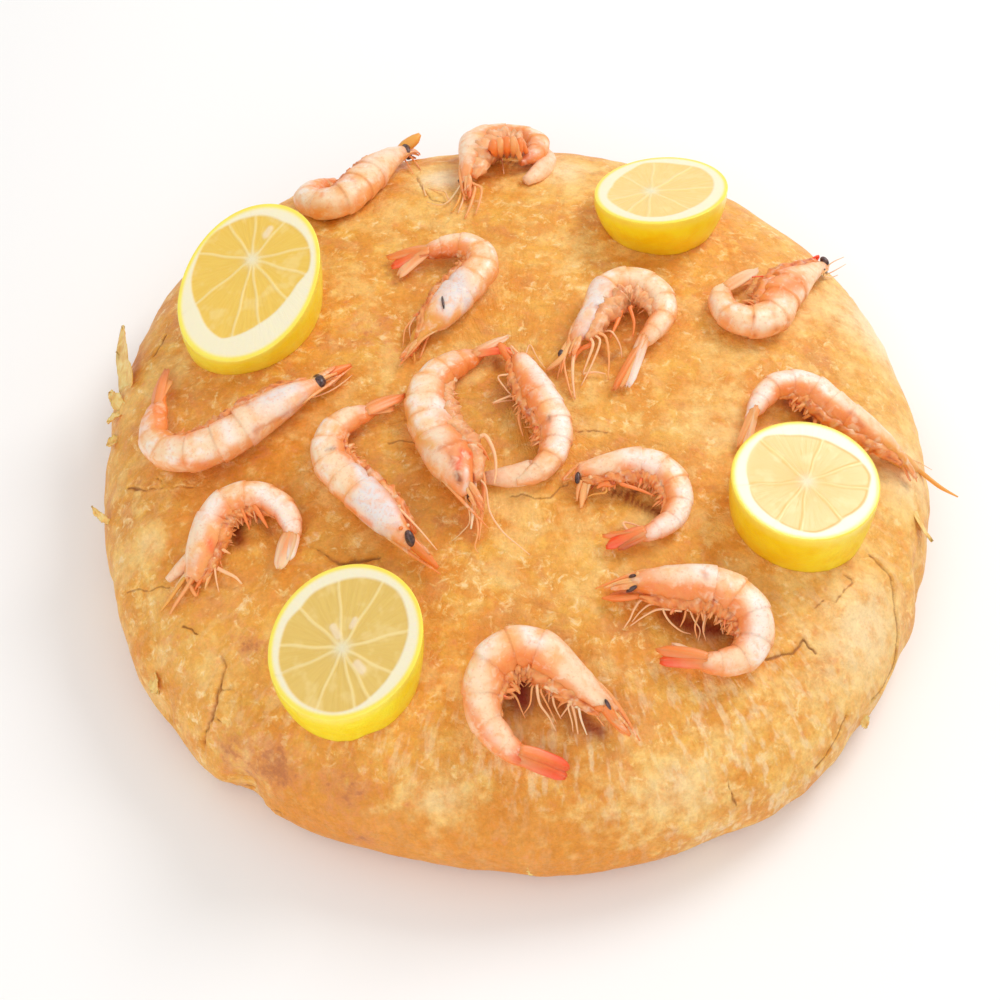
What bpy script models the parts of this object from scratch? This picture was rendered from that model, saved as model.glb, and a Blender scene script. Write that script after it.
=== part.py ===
# Fish pastilla: a round filo pie, domed on top and flat underneath, with fourteen whole cooked
# shrimps and four thick lemon slices lying on its crust. Metres, +Z up. The pie stands on z = 0
# with its middle at the origin; +X is right and +Y is the back.

import math

import bmesh
import bpy
import numpy as np
from mathutils import Vector, noise
from mathutils.bvhtree import BVHTree

mm = 0.001

# The pie
pie_radius = 160 * mm
pie_height = 64 * mm
belly_height = 14 * mm  # where the side reaches furthest out
foot_tuck = 11 * mm  # how far the side turns back in below the belly
crown_power = 3.0  # a larger power keeps the crown flatter
crown_root = 2.5  # a larger root makes the shoulder squarer
pie_steps = 78
pie_rings = 30
foot_rings = 3
# The plan isn't a true circle: waves round the edge, as (count, height, angle of a crest)
edge_waves = ((2, 2.6 * mm, 105), (3, 0.4 * mm, 37), (4, 2.0 * mm, 43), (5, 0.7 * mm, 7))

# Unevenness of the crust, as (size of the lumps, height)
crust_lumps = ((55 * mm, 1.7 * mm), (20 * mm, 0.8 * mm), (9 * mm, 0.35 * mm))
foot_calm = 7 * mm  # the lumps die out in this height above the foot
crust_seed = 7

# Raised wrinkles and sunk creases of the top, as (x, y) of both ends, half width, height
wrinkles = (
    ((-46, -124), (-52, -139), 3.0, 1.5),
    ((-27, -126), (-36, -143), 3.2, 1.6),
    ((140, -48), (146, -86), 4.0, 1.8),
    ((118, -76), (132, -62), 4.0, 1.3),
    ((146, -52), (149, -88), 3.2, -1.6),
    ((-131, -66), (-122, -104), 3.5, -1.3),
    ((-139, -45), (-112, -48), 4.0, 1.2),
    ((-100, -128), (-88, -122), 6.0, 1.8),
)
# Folds down the side, as (angle, half width in degrees, depth, height where they end)
side_folds = (
    (-125, 2.6, 4.0 * mm, 30 * mm),
    (-131, 4.5, -2.0 * mm, 26 * mm),
    (-42, 3.0, 2.0 * mm, 30 * mm),
    (-64, 3.5, 1.2 * mm, 26 * mm),
    (-92, 3.0, 1.2 * mm, 24 * mm),
    (200, 3.0, 1.8 * mm, 30 * mm),
    (172, 4.0, -1.6 * mm, 46 * mm),
    (15, 4.0, 1.3 * mm, 30 * mm),
    (70, 4.0, 1.3 * mm, 34 * mm),
    (125, 4.0, 1.3 * mm, 34 * mm),
)

# Loose flakes of filo, fused to the crust: (angle, height of the root, length, width,
# degrees that it leans out from the side, degrees that it rises, degrees that it turns about
# its own root). All are thin sheets that come to a ragged point.
flake_thickness = 1.1 * mm
flake_root = 6 * mm  # how deep in the crust a flake starts
flakes = (
    (168, 36, 25, 9, 35, 60, 0),
    (175, 33, 7, 9, 60, 25, 20),
    (189, 22, 7, 5, 70, 30, -20),
    (-5, 24, 18, 9, 20, -58, 30),
    (-40, 12, 5, 6, 75, -10, 10),
    (-124, 8, 3, 10, 60, -10, 0),
    (60, 34, 8, 10, 45, 10, 15),
    (-108, 2.5, 2.5, 18, 80, 2, 0),
    (-88, 2.5, 2, 14, 80, 2, 0),
)
# The outline of a flake from root to tip, as (share of the length, of the width, curl)
flake_outline = ((0, 1.0, 0), (0.35, 1.0, 0.05), (0.65, 0.7, 0.16), (0.85, 0.5, 0.2), (1, 0.12, 0.22))

# Shrimps: where the shell of the head ends (x, y), where the head points, which way the tail
# curls (1 is anticlockwise), size, how far front, middle and tail of the abdomen bend, how far
# the head and the tail are lifted off the crust, the length of the snout in front of the eye
# and how plump the body is for its size
shrimps = (
    (-55, 115, 66, -1, 1.08, 6, 168, 4, 1, 0, 12, 0.92),
    (-16, 137, -95, -1, 1.02, 60, 126, 14, 1, 1, 12, 0.78),
    (-20, 45, -131, 1, 0.95, 8, 136, -10, 0, 0, 12, 0.90),
    (31, 46, -110, -1, 1.19, 82, 114, -8, 1, 0, 12, 0.74),
    (103, 54, 52, -1, 1.00, -22, 152, 72, 1, 0, 7, 0.95),
    (-96, -14, 38, -1, 1.17, 24, 102, 9, 0, 0, 14, 0.80),
    (-52, -44, -47, -1, 0.97, 2, 88, 24, 0, 0, 15, 0.95),
    (-25, -22, -71, -1, 0.95, 4, 70, -6, 8, 0, 17, 0.90),
    (9, -5, 113, -1, 0.81, -2, 67, 48, 0, 0, 3, 0.95),
    (44, -33, -169, -1, 0.85, 62, 94, 23, 0, 0, 10, 0.80),
    (119, -6, -26, 1, 0.89, -20, 102, 7, 0, 0, 26, 0.95),
    (-104, -50, -116, -1, 0.82, 49, 80, 52, 1, 0, 14, 0.88),
    (66, -78, -179, -1, 0.99, 49, 119, 30, 0, 0, 14, 0.92),
    (7, -102, -38, 1, 1.06, 80, 99, 23, 0, 0, 13, 0.88),
)
head_length = 27 * mm  # eye to the back edge of the head shell
joint_lengths = (8.5, 8.5, 9.0, 8.5, 8.0, 10.0, 13.0)  # six rings of the abdomen, then the fan
# Half depth (back to belly) and half width along the body, in mm from the eye backwards.
# In front of the first of these the snout tapers to its point
body_section = (
    (-9, 1.8, 1.5),
    (-3, 3.9, 3.2),
    (2, 5.5, 4.7),
    (10, 7.3, 6.0),
    (20, 8.2, 6.7),
    (27, 8.4, 6.8),
    (36, 8.5, 6.8),
    (45, 8.0, 6.5),
    (53, 7.2, 5.9),
    (62, 6.3, 5.1),
    (70, 5.2, 4.3),
    (79, 3.5, 3.2),
    (83, 4.4, 2.0),
    (88, 5.6, 1.3),
    (92, 4.3, 0.9),
)
snout_tip = 0.5  # half size of the snout at its point, in mm
shell_step = 0.045  # how much each shell ring stands out over the next, as a share
body_sides = 8
leg_roots = (6, 13, 20)  # along the head shell from the eye
leg_length = 15 * mm
leg_radius = 1.2 * mm
eye_radius = 2.0 * mm

# Lemon slices: centre (x, y), radius and thickness, how much the cut face leans and towards
# which angle, the share of the radius left at the bottom, how oval and along which angle
lemon_slices = (
    (-98, 46.5, 28.8, 20, 20, -135, 0.95, 1.08, 74),
    (57, 94.5, 25.9, 16, 19, 101, 0.86, 1.04, 50),
    (100, -44, 25.8, 17.5, 7, 15, 0.95, 1.035, 38),
    (-55, -105, 25.6, 15.5, 24, -145, 0.94, 1.03, -30),
)
lemon_sides = 24

gap = 0.4 * mm  # between a topping and what carries it

materials = {
    "crust": ((0.78, 0.44, 0.16, 1), 0.55),
    "shrimp": ((0.88, 0.50, 0.33, 1), 0.35),
    "lemon": ((0.93, 0.74, 0.16, 1), 0.35),
}


def clear_scene():
    for obj in list(bpy.data.objects):
        bpy.data.objects.remove(obj, do_unlink=True)


def new_collection(name):
    collection = bpy.data.collections.new(name)
    bpy.context.scene.collection.children.link(collection)
    return collection


def make_material(name):
    colour, roughness = materials[name]
    material = bpy.data.materials.new(name)
    material.use_nodes = True
    shader = material.node_tree.nodes["Principled BSDF"]
    shader.inputs["Base Color"].default_value = colour
    shader.inputs["Roughness"].default_value = roughness
    shader.inputs["Metallic"].default_value = 0
    material.diffuse_color = colour
    return material


def add_object(name, mesh, collection):
    obj = bpy.data.objects.new(name, mesh)
    collection.objects.link(obj)
    return obj


def baked(obj, name, collection):
    # The object as its modifiers leave it, as a plain mesh in the same place
    graph = bpy.context.evaluated_depsgraph_get()
    mesh = bpy.data.meshes.new_from_object(obj.evaluated_get(graph))
    made = add_object(name, mesh, collection)
    made.matrix_world = obj.matrix_world
    bpy.data.objects.remove(obj, do_unlink=True)
    return made


def joined(name, base, extras, collection):
    # One Boolean union over a collection makes one solid of the base and all its extras
    if extras:
        holder = new_collection(name + "_pieces")
        for piece in extras:
            collection.objects.unlink(piece)
            holder.objects.link(piece)
        union = base.modifiers.new("union", "BOOLEAN")
        union.operation = "UNION"
        union.operand_type = "COLLECTION"
        union.collection = holder
        union.solver = "EXACT"
        base = baked(base, name, collection)
        for piece in list(holder.objects):
            bpy.data.objects.remove(piece, do_unlink=True)
        bpy.data.collections.remove(holder)
    base.name = name
    return base


def loft(name, rings, collection):
    # A closed skin over rings of points, each end closed by a point at its middle
    form = bmesh.new()
    rows = [[form.verts.new(point) for point in ring] for ring in rings]
    count = len(rows[0])
    for row, following in zip(rows, rows[1:]):
        for i in range(count):
            j = (i + 1) % count
            form.faces.new((row[i], row[j], following[j], following[i]))
    for row, turned in ((rows[0], False), (rows[-1], True)):
        middle = form.verts.new(sum((vert.co for vert in row), Vector()) / count)
        for i in range(count):
            j = (i + 1) % count
            form.faces.new((middle, row[i], row[j]) if turned else (middle, row[j], row[i]))
    bmesh.ops.recalc_face_normals(form, faces=form.faces)
    mesh = bpy.data.meshes.new(name)
    form.to_mesh(mesh)
    form.free()
    return add_object(name, mesh, collection)


def edge_radius(angle):
    waves = (height * math.cos(count * (angle - math.radians(crest))) for count, height, crest in edge_waves)
    return pie_radius + sum(waves)


def dome_height(x, y):
    share = min(1.0, math.hypot(x, y) / edge_radius(math.atan2(y, x)))
    return belly_height + (pie_height - belly_height) * (1 - share**crown_power) ** (1 / crown_root)


def dome_normal(x, y):
    step = 1.5 * mm
    slope_x = (dome_height(x + step, y) - dome_height(x - step, y)) / (2 * step)
    slope_y = (dome_height(x, y + step) - dome_height(x, y - step)) / (2 * step)
    return Vector((-slope_x, -slope_y, 1)).normalized()


def pie_profile():
    # Down the outer side from the crown to the foot, evenly spaced along its length
    turn = np.linspace(0, math.pi / 2, 400)
    across = pie_radius * np.sin(turn) ** (2 / crown_power)
    up = belly_height + (pie_height - belly_height) * np.cos(turn) ** (2 / crown_root)
    length = np.concatenate([[0], np.cumsum(np.hypot(np.diff(across), np.diff(up)))])
    even = np.linspace(0, length[-1], pie_rings + 1)
    points = list(zip(np.interp(even, length, across), np.interp(even, length, up)))
    for i in range(1, foot_rings + 1):
        turn = math.pi / 2 * i / foot_rings
        points.append((pie_radius - foot_tuck * (1 - math.cos(turn)), belly_height * (1 - math.sin(turn))))
    return [(0, pie_height)] + points[1:] + [(0, 0)]


def wrinkle_height(x, y):
    total = 0
    for start, end, half_width, height in wrinkles:
        a, b, p = Vector(start) * mm, Vector(end) * mm, Vector((x, y))
        along = max(0, min(1, (p - a).dot(b - a) / (b - a).length_squared))
        off = (p - a - (b - a) * along).length / (half_width * mm)
        total += height * mm * math.exp(-off * off)
    return total


def fold_depth(x, y, z):
    angle = math.degrees(math.atan2(y, x))
    total = 0
    for centre, half_width, depth, top in side_folds:
        off = ((angle - centre + 180) % 360 - 180) / half_width
        total -= depth * math.exp(-off * off) * max(0, min(1, (top - z) / (10 * mm)))
    return total


def crust_lift(point):
    lift = sum(
        height * noise.noise(point / size + Vector((crust_seed, 0, 0))) for size, height in crust_lumps
    )
    if point.z > belly_height:
        lift += wrinkle_height(point.x, point.y)
    return (lift + fold_depth(*point)) * min(1, point.z / foot_calm)


def side_reach(angle, height):
    # How far out the side of the pie is at this angle and height
    if height < belly_height:
        return edge_radius(angle) - foot_tuck * (1 - math.sqrt(1 - (1 - height / belly_height) ** 2))
    share = (height - belly_height) / (pie_height - belly_height)
    return edge_radius(angle) * (1 - share**crown_root) ** (1 / crown_power)


def make_flake(angle, root_height, length, width, lean, rise, turn, collection):
    # A thin pointed sheet that starts inside the crust and bends a little as it leaves it
    angle, lean, rise, turn = (math.radians(value) for value in (angle, lean, rise, turn))
    outward = Vector((math.cos(angle), math.sin(angle), 0))
    sideways = Vector((-outward.y, outward.x, 0))
    root = outward * (side_reach(angle, root_height * mm) - flake_root) + Vector((0, 0, root_height * mm))
    along = outward * math.cos(rise) * math.sin(lean) + Vector((0, 0, math.sin(rise)))
    along = (along + sideways * math.sin(turn) * 0.5).normalized()
    upright = Vector((0, 0, 1))
    across = along.cross(outward if abs(along.dot(outward)) < 0.9 else upright).normalized()
    flat = along.cross(across)
    rings = []
    for share, spread, curl in flake_outline:
        middle = root + along * (share * (length * mm + flake_root)) + flat * (curl * length * mm)
        half = across * (spread * width * mm / 2)
        thick = flat * (flake_thickness / 2)
        rings.append([middle - half - thick, middle + half - thick, middle + half + thick, middle - half + thick])
    return loft("flake", rings, collection)


def make_pie(collection):
    profile = pie_profile()
    mesh = bpy.data.meshes.new("pie_profile")
    mesh.from_pydata([(x, 0, z) for x, z in profile], [(i, i + 1) for i in range(len(profile) - 1)], [])
    pie = add_object("pastilla", mesh, collection)
    screw = pie.modifiers.new("turn", "SCREW")
    screw.steps = screw.render_steps = pie_steps
    screw.use_merge_vertices = True
    screw.merge_threshold = 0.00001
    pie = baked(pie, "pastilla", collection)
    for vert in pie.data.vertices:
        spread = edge_radius(math.atan2(vert.co.y, vert.co.x)) / pie_radius
        vert.co.x *= spread
        vert.co.y *= spread
    pie.data.update()
    normals = [Vector(vert.normal) for vert in pie.data.vertices]
    for vert, normal in zip(pie.data.vertices, normals):
        if vert.co.z > 0.1 * mm:
            vert.co += normal * crust_lift(vert.co.copy())
    pie.data.update()
    return joined("pastilla", pie, [make_flake(*flake, collection) for flake in flakes], collection)


def tree_of(obj):
    obj.data.calc_loop_triangles()
    points = [obj.matrix_world @ vert.co for vert in obj.data.vertices]
    return BVHTree.FromPolygons(points, [tuple(t.vertices) for t in obj.data.loop_triangles])


def surface_height(tree, x, y):
    hit = tree.ray_cast(Vector((x, y, 0.2)), Vector((0, 0, -1)))[0]
    return hit.z if hit else None


def rest_on(obj, carriers):
    # Lowers or raises a topping until it clears what is under it by the gap
    own = tree_of(obj)
    clear = []
    for vert in obj.data.vertices:
        for tree in carriers:
            below = surface_height(tree, vert.co.x, vert.co.y)
            if below is not None:
                clear.append(vert.co.z - below)
    reach = [(min(v.co[i] for v in obj.data.vertices), max(v.co[i] for v in obj.data.vertices)) for i in (0, 1)]
    count = 40
    for i in range(count + 1):
        for j in range(count + 1):
            x = reach[0][0] + (reach[0][1] - reach[0][0]) * i / count
            y = reach[1][0] + (reach[1][1] - reach[1][0]) * j / count
            under = own.ray_cast(Vector((x, y, 0)), Vector((0, 0, 1)))[0]
            if under is None:
                continue
            below = [surface_height(tree, x, y) for tree in carriers]
            clear += [under.z - z for z in below if z is not None]
    shift = gap - min(clear)
    for vert in obj.data.vertices:
        vert.co.z += shift
    obj.data.update()


def body_line(shrimp):
    # The middle line in plan: distance from the eye (backwards), x, y and the way it runs
    x, y, heading, side, size, front, middle, tail = shrimp[:8]
    snout = shrimp[10] * mm
    heading = math.radians(heading)
    bends = [front / 2, front / 2, middle / 3, middle / 3, middle / 3, tail / 2, tail / 2]
    joints = [head_length]
    for length in joint_lengths:
        joints.append(joints[-1] + length * mm)
    # Each bend is spread over the rings on both sides of its joint
    marks, turns = [0, head_length - 4 * mm], [0, 0]
    for i, bend in enumerate(bends):
        marks.append((joints[i] + joints[i + 1]) / 2)
        turns.append(turns[-1] + bend)
    marks.append(joints[-1])
    turns.append(turns[-1])
    step = 0.5 * mm
    line = {}
    for sign in (1, -1):
        spot = Vector((x * mm, y * mm))
        along = head_length
        while -snout - step <= along <= joints[-1] + step:
            way = heading + math.pi + side * math.radians(np.interp(along, marks, turns))
            line[round(along / step)] = (along, spot.x, spot.y, way)
            spot = spot + Vector((math.cos(way), math.sin(way))) * (sign * step * size)
            along += sign * step
    return [line[key] for key in sorted(line)]


def shell_stations(snout):
    # Where the loft has its rings: two at each joint, so that every shell ring makes a step
    joints = [head_length / mm]
    for length in joint_lengths[:5]:
        joints.append(joints[-1] + length)
    stations = [(along, 1.0) for along in (-snout, -0.6 * snout, -0.25 * snout, 3, 10, 18)]
    for joint in joints:
        stations += [(joint - 0.4, 1 + shell_step), (joint + 0.6, 1 - shell_step / 2)]
    return stations + [(79, 1.0), (83, 1.0), (88, 1.0), (92, 1.0)]


def make_shrimp(name, shrimp, crust, collection):
    side, size = shrimp[3:5]
    head_lift, tail_lift, snout, plump = shrimp[8:]
    line = body_line(shrimp)
    alongs = [entry[0] / mm for entry in line]
    columns = list(zip(*line))
    section = list(zip(*((-snout, snout_tip, snout_tip), *(row for row in body_section if row[0] > -snout))))

    def place(along):
        # Middle of the body there, its upward and sideways (towards the back shell) directions
        x, y, way = (float(np.interp(along, alongs, column)) for column in columns[1:])
        deep, wide = (float(np.interp(along, section[0], column)) * mm * size * plump for column in section[1:])
        up = dome_normal(x, y)
        ground = surface_height(crust, x, y)
        if ground is None:
            ground = dome_height(x, y)
        forward = Vector((math.cos(way), math.sin(way), 0))
        outer = forward.cross(up).normalized() * side
        lift = head_lift * max(0, 1 - max(along, 0) / 27) + tail_lift * max(0, (along - 50) / 42)
        middle = Vector((x, y, ground)) + up * (wide + lift * mm)
        return middle, up, outer, deep, wide

    rings = []
    for along, swell in shell_stations(snout):
        middle, up, outer, deep, wide = place(along)
        ring = []
        for i in range(body_sides):
            turn = 2 * math.pi * (i + 0.5) / body_sides
            ring.append(middle + outer * (deep * swell * math.cos(turn)) + up * (wide * swell * math.sin(turn)))
        rings.append(ring)
    body = loft(name, rings, collection)
    extras = []
    for root in leg_roots:
        start, up, outer, deep, wide = place(root)
        start = start - outer * (deep * 0.5) - up * (wide * 0.3)
        behind = place(root + 9)[0] - place(root)[0]
        tip = start - outer * (leg_length * size) + behind.normalized() * (0.55 * leg_length * size)
        ground = surface_height(crust, tip.x, tip.y)
        tip.z = (ground if ground is not None else tip.z) + 2.2 * mm
        extras.append(make_rod("leg", start, tip, leg_radius, 0.5 * mm, 4, collection))
    for across in (-1, 1):
        middle, up, outer, deep, wide = place(-2)
        spot = middle + up * (across * wide * 0.75) + outer * (deep * 0.35)
        form = bmesh.new()
        bmesh.ops.create_icosphere(form, subdivisions=1, radius=eye_radius * size)
        bmesh.ops.translate(form, verts=form.verts, vec=spot)
        mesh = bpy.data.meshes.new("eye")
        form.to_mesh(mesh)
        form.free()
        extras.append(add_object("eye", mesh, collection))
    return joined(name, body, extras, collection)


def make_rod(name, start, end, start_radius, end_radius, sides, collection):
    form = bmesh.new()
    bmesh.ops.create_cone(
        form, cap_ends=True, segments=sides, radius1=start_radius, radius2=end_radius, depth=(end - start).length
    )
    mesh = bpy.data.meshes.new(name)
    form.to_mesh(mesh)
    form.free()
    turn = (end - start).to_track_quat("Z", "Y").to_matrix().to_4x4()
    mesh.transform(turn)
    for vert in mesh.vertices:
        vert.co += (start + end) / 2
    return add_object(name, mesh, collection)


def make_lemon(name, lemon, crust, collection):
    x, y, radius, thickness, lean, towards, taper, oval, oval_turn = lemon
    lean, towards, oval_turn = (math.radians(a) for a in (lean, towards, oval_turn))
    normal = Vector(
        (math.sin(lean) * math.cos(towards), math.sin(lean) * math.sin(towards), math.cos(lean))
    )
    centre = Vector((x, y, 0)) * mm
    centre.z = surface_height(crust, centre.x, centre.y) + thickness * mm

    def ring(reach, depth_share, conform=False):
        points = []
        for i in range(lemon_sides):
            turn = 2 * math.pi * i / lemon_sides
            stretch = 1 + (oval - 1) * math.cos(2 * (turn - oval_turn))
            across = Vector((math.cos(turn), math.sin(turn), 0)) * (radius * mm * reach * stretch)
            face_z = centre.z - (normal.x * across.x + normal.y * across.y) / normal.z
            spot = Vector((centre.x + across.x, centre.y + across.y, 0))
            floor_z = surface_height(crust, spot.x, spot.y)
            if floor_z is None:
                floor_z = dome_height(spot.x, spot.y)
            spot.z = face_z + (floor_z + gap - face_z) * depth_share
            points.append(spot)
        return points

    rings = [ring(0.5, 0), ring(0.94, 0), ring(1.0, 0.07), ring(1.0, 0.35)]
    rings += [ring((1 + taper) / 2 + 0.03, 0.7), ring(taper, 1), ring(taper * 0.55, 1)]
    return loft(name, rings, collection)


def finish(obj, material, smooth_angle):
    obj.data.materials.clear()
    obj.data.materials.append(material)
    obj.data.shade_smooth()
    obj.data.set_sharp_from_angle(angle=math.radians(smooth_angle))


def main():
    clear_scene()
    parts = new_collection("fish_pastilla")
    made = {name: make_material(name) for name in materials}
    pie = make_pie(parts)
    finish(pie, made["crust"], 40)
    crust = tree_of(pie)
    lemons = []
    for i, lemon in enumerate(lemon_slices, 1):
        piece = make_lemon(f"lemon_slice_{i}", lemon, crust, parts)
        rest_on(piece, [crust])
        finish(piece, made["lemon"], 35)
        lemons.append(piece)
    # The ninth shrimp lies under the head of the eighth, so it is laid first
    order = sorted(range(len(shrimps)), key=lambda i: i == 7)
    laid = {}
    for i in order:
        piece = make_shrimp(f"shrimp_{i + 1:02d}", shrimps[i], crust, parts)
        rest_on(piece, [crust] + ([tree_of(laid[8])] if i == 7 else []))
        finish(piece, made["shrimp"], 35)
        laid[i] = piece


main()
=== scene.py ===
import math
import random

import bmesh
import bpy
import numpy as np
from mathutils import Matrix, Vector, noise
from mathutils.bvhtree import BVHTree


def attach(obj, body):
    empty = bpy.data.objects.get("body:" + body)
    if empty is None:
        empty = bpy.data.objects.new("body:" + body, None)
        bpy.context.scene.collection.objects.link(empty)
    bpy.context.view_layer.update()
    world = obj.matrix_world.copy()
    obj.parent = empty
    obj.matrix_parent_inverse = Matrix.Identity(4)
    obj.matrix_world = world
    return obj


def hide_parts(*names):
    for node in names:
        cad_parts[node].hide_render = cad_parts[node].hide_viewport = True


mm = 0.001
pixel = 0.39 * mm  # a point of the 1000 point picture, on the crust
farAway = 1e9  # further than anything here
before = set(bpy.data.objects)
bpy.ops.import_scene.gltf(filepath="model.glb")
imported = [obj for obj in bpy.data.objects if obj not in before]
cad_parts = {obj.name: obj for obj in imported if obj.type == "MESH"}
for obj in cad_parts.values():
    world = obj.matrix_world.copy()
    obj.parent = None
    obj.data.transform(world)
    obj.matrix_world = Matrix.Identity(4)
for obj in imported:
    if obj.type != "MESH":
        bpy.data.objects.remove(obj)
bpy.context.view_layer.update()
scene = bpy.context.scene


def addObject(name, data):
    made = bpy.data.objects.new(name, data)
    scene.collection.objects.link(made)
    return made


cameraSettings = {
    "distance": 0.7,  # from the middle of the pie's foot
    "down": 55.5,  # degrees below the horizon
    "focal": 1793,  # in pixels of the square picture
    "picture": 1000,
    "sensor": 36,
    "shift": (-0.0137, -0.0024),
}


def makeCamera(s):
    data = bpy.data.cameras.new("camera")
    data.sensor_width = s["sensor"]
    data.lens = s["focal"] * s["sensor"] / s["picture"]
    data.shift_x, data.shift_y = s["shift"]
    camera = addObject("camera", data)
    down = math.radians(s["down"])
    camera.location = (0, -s["distance"] * math.cos(down), s["distance"] * math.sin(down))
    camera.rotation_euler = (math.pi / 2 - down, 0, 0)
    scene.camera = camera
    bpy.context.view_layer.update()
    return camera


camera = makeCamera(cameraSettings)
cameraSpot = camera.matrix_world.translation.copy()
cameraTurn = camera.matrix_world.to_3x3()


def pixelRay(px, py):
    # The way from the camera through a point of the square picture
    s = cameraSettings
    across = (px / s["picture"] - 0.5 + s["shift"][0]) * s["picture"] / s["focal"]
    up = (0.5 - py / s["picture"] + s["shift"][1]) * s["picture"] / s["focal"]
    return (cameraTurn @ Vector((across, up, -1))).normalized()


def linear(colour):
    # A colour as seen on screen, 0 to 255, as the light that a shader takes
    out = []
    for value in colour:
        value = value / 255
        out.append(value / 12.92 if value < 0.04045 else ((value + 0.055) / 1.055) ** 2.4)
    return tuple(out)


def rgba(*colour):
    return (*linear(colour), 1)


def newMaterial(name, roughness=0.5):
    material = bpy.data.materials.new(name)
    material.use_nodes = True
    shader = material.node_tree.nodes["Principled BSDF"]
    shader.inputs["Roughness"].default_value = roughness
    return material, material.node_tree, shader


def setInputs(tree, node, inputs):
    # Outputs of other nodes are linked, anything else is set on the input itself
    for key, value in inputs.items():
        if isinstance(value, bpy.types.NodeSocket):
            tree.links.new(value, node.inputs[key])
        else:
            node.inputs[key].default_value = value


def addNode(tree, kind, inputs=None, **settings):
    made = tree.nodes.new(kind)
    for key, value in settings.items():
        setattr(made, key, value)
    setInputs(tree, made, inputs or {})
    return made


def attributeOut(tree, name, what="Fac"):
    return addNode(tree, "ShaderNodeAttribute", attribute_name=name).outputs[what]


def objectSpot(tree):
    return addNode(tree, "ShaderNodeTexCoord").outputs["Object"]


def movedOut(tree, spot, way):
    return addNode(tree, "ShaderNodeVectorMath", {0: spot, 1: way}).outputs[0]


def noiseOut(tree, spot, size, detail=3.0, rough=0.55, distort=0.0):
    # Noise whose lumps are about this many metres across
    inputs = {"Vector": spot, "Scale": 1 / size, "Detail": detail, "Roughness": rough, "Distortion": distort}
    return addNode(tree, "ShaderNodeTexNoise", inputs).outputs["Fac"]


def mathOut(tree, operation, a, b):
    return addNode(tree, "ShaderNodeMath", {0: a, 1: b}, operation=operation).outputs[0]


def rangeOut(tree, value, low, high, toLow=0.0, toHigh=1.0):
    inputs = {"Value": value, "From Min": low, "From Max": high, "To Min": toLow, "To Max": toHigh}
    return addNode(tree, "ShaderNodeMapRange", inputs, interpolation_type="SMOOTHSTEP").outputs["Result"]


def mixOut(tree, share, a, b, blend="MIX"):
    inputs = {0: share, 6: a, 7: b}
    return addNode(tree, "ShaderNodeMix", inputs, data_type="RGBA", blend_type=blend).outputs[2]


def addGrey(tree, value):
    return addNode(tree, "ShaderNodeCombineColor", {"Red": value, "Green": value, "Blue": value}).outputs[0]


def rampOut(tree, value, stops):
    made = addNode(tree, "ShaderNodeValToRGB", {"Fac": value})
    ramp = made.color_ramp
    while len(ramp.elements) < len(stops):
        ramp.elements.new(0.5)
    for element, (position, colour) in zip(ramp.elements, stops):
        element.position = position
        element.color = colour
    return made.outputs["Color"]


def bumpOut(tree, height, depth, before=None):
    inputs = {"Height": height, "Distance": depth, "Strength": 1.0}
    if before is not None:
        inputs["Normal"] = before
    return addNode(tree, "ShaderNodeBump", inputs).outputs["Normal"]


def treeOf(obj):
    # For finding where a ray meets the object
    obj.data.calc_loop_triangles()
    points = [vert.co.copy() for vert in obj.data.vertices]
    return BVHTree.FromPolygons(points, [tuple(t.vertices) for t in obj.data.loop_triangles])


def heightOn(tree, x, y, top=0.2):
    hit = tree.ray_cast(Vector((x, y, top)), Vector((0, 0, -1)))[0]
    return hit.z if hit else None


def smoothStep(low, high, value):
    t = np.clip((np.asarray(value, float) - low) / (high - low), 0, 1)
    return t * t * (3 - 2 * t)


def mixColour(a, b, share):
    share = np.clip(np.asarray(share, float), 0, 1)[..., None]
    return np.asarray(a) * (1 - share) + np.asarray(b) * share


def awayFrom(points, a, b):
    # Distance of each point from the straight line between two places
    way = b - a
    along = np.clip(((points - a) @ way) / max(way @ way, 1e-12), 0, 1)
    return np.linalg.norm(points - a - along[:, None] * way, axis=1)


def addLayer(mesh, name, values, kind="FLOAT"):
    # Values at the points of a mesh that its material reads
    layer = mesh.attributes.new(name, kind, "POINT")
    what = {"FLOAT": "value", "FLOAT_VECTOR": "vector", "FLOAT_COLOR": "color"}[kind]
    layer.data.foreach_set(what, np.asarray(values, float).ravel())


def meshFrom(name, parts, materials):
    # One object of several parts, each with its points, faces, tints and material
    verts, faces, tints, slots = [], [], [], []
    for part in parts:
        base = len(verts)
        verts += [tuple(v) for v in part["verts"]]
        faces += [tuple(base + i for i in face) for face in part["faces"]]
        slots += [part["slot"]] * len(part["faces"])
        tints += [tuple(c) for c in part["tints"]]
    mesh = bpy.data.meshes.new(name)
    mesh.from_pydata(verts, [], faces)
    mesh.polygons.foreach_set("material_index", slots)
    addLayer(mesh, "tint", [(*c[:3], 1) for c in tints], "FLOAT_COLOR")
    mesh.polygons.foreach_set("use_smooth", [True] * len(faces))
    for material in materials:
        mesh.materials.append(material)
    mesh.update()
    return addObject(name, mesh)


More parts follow.
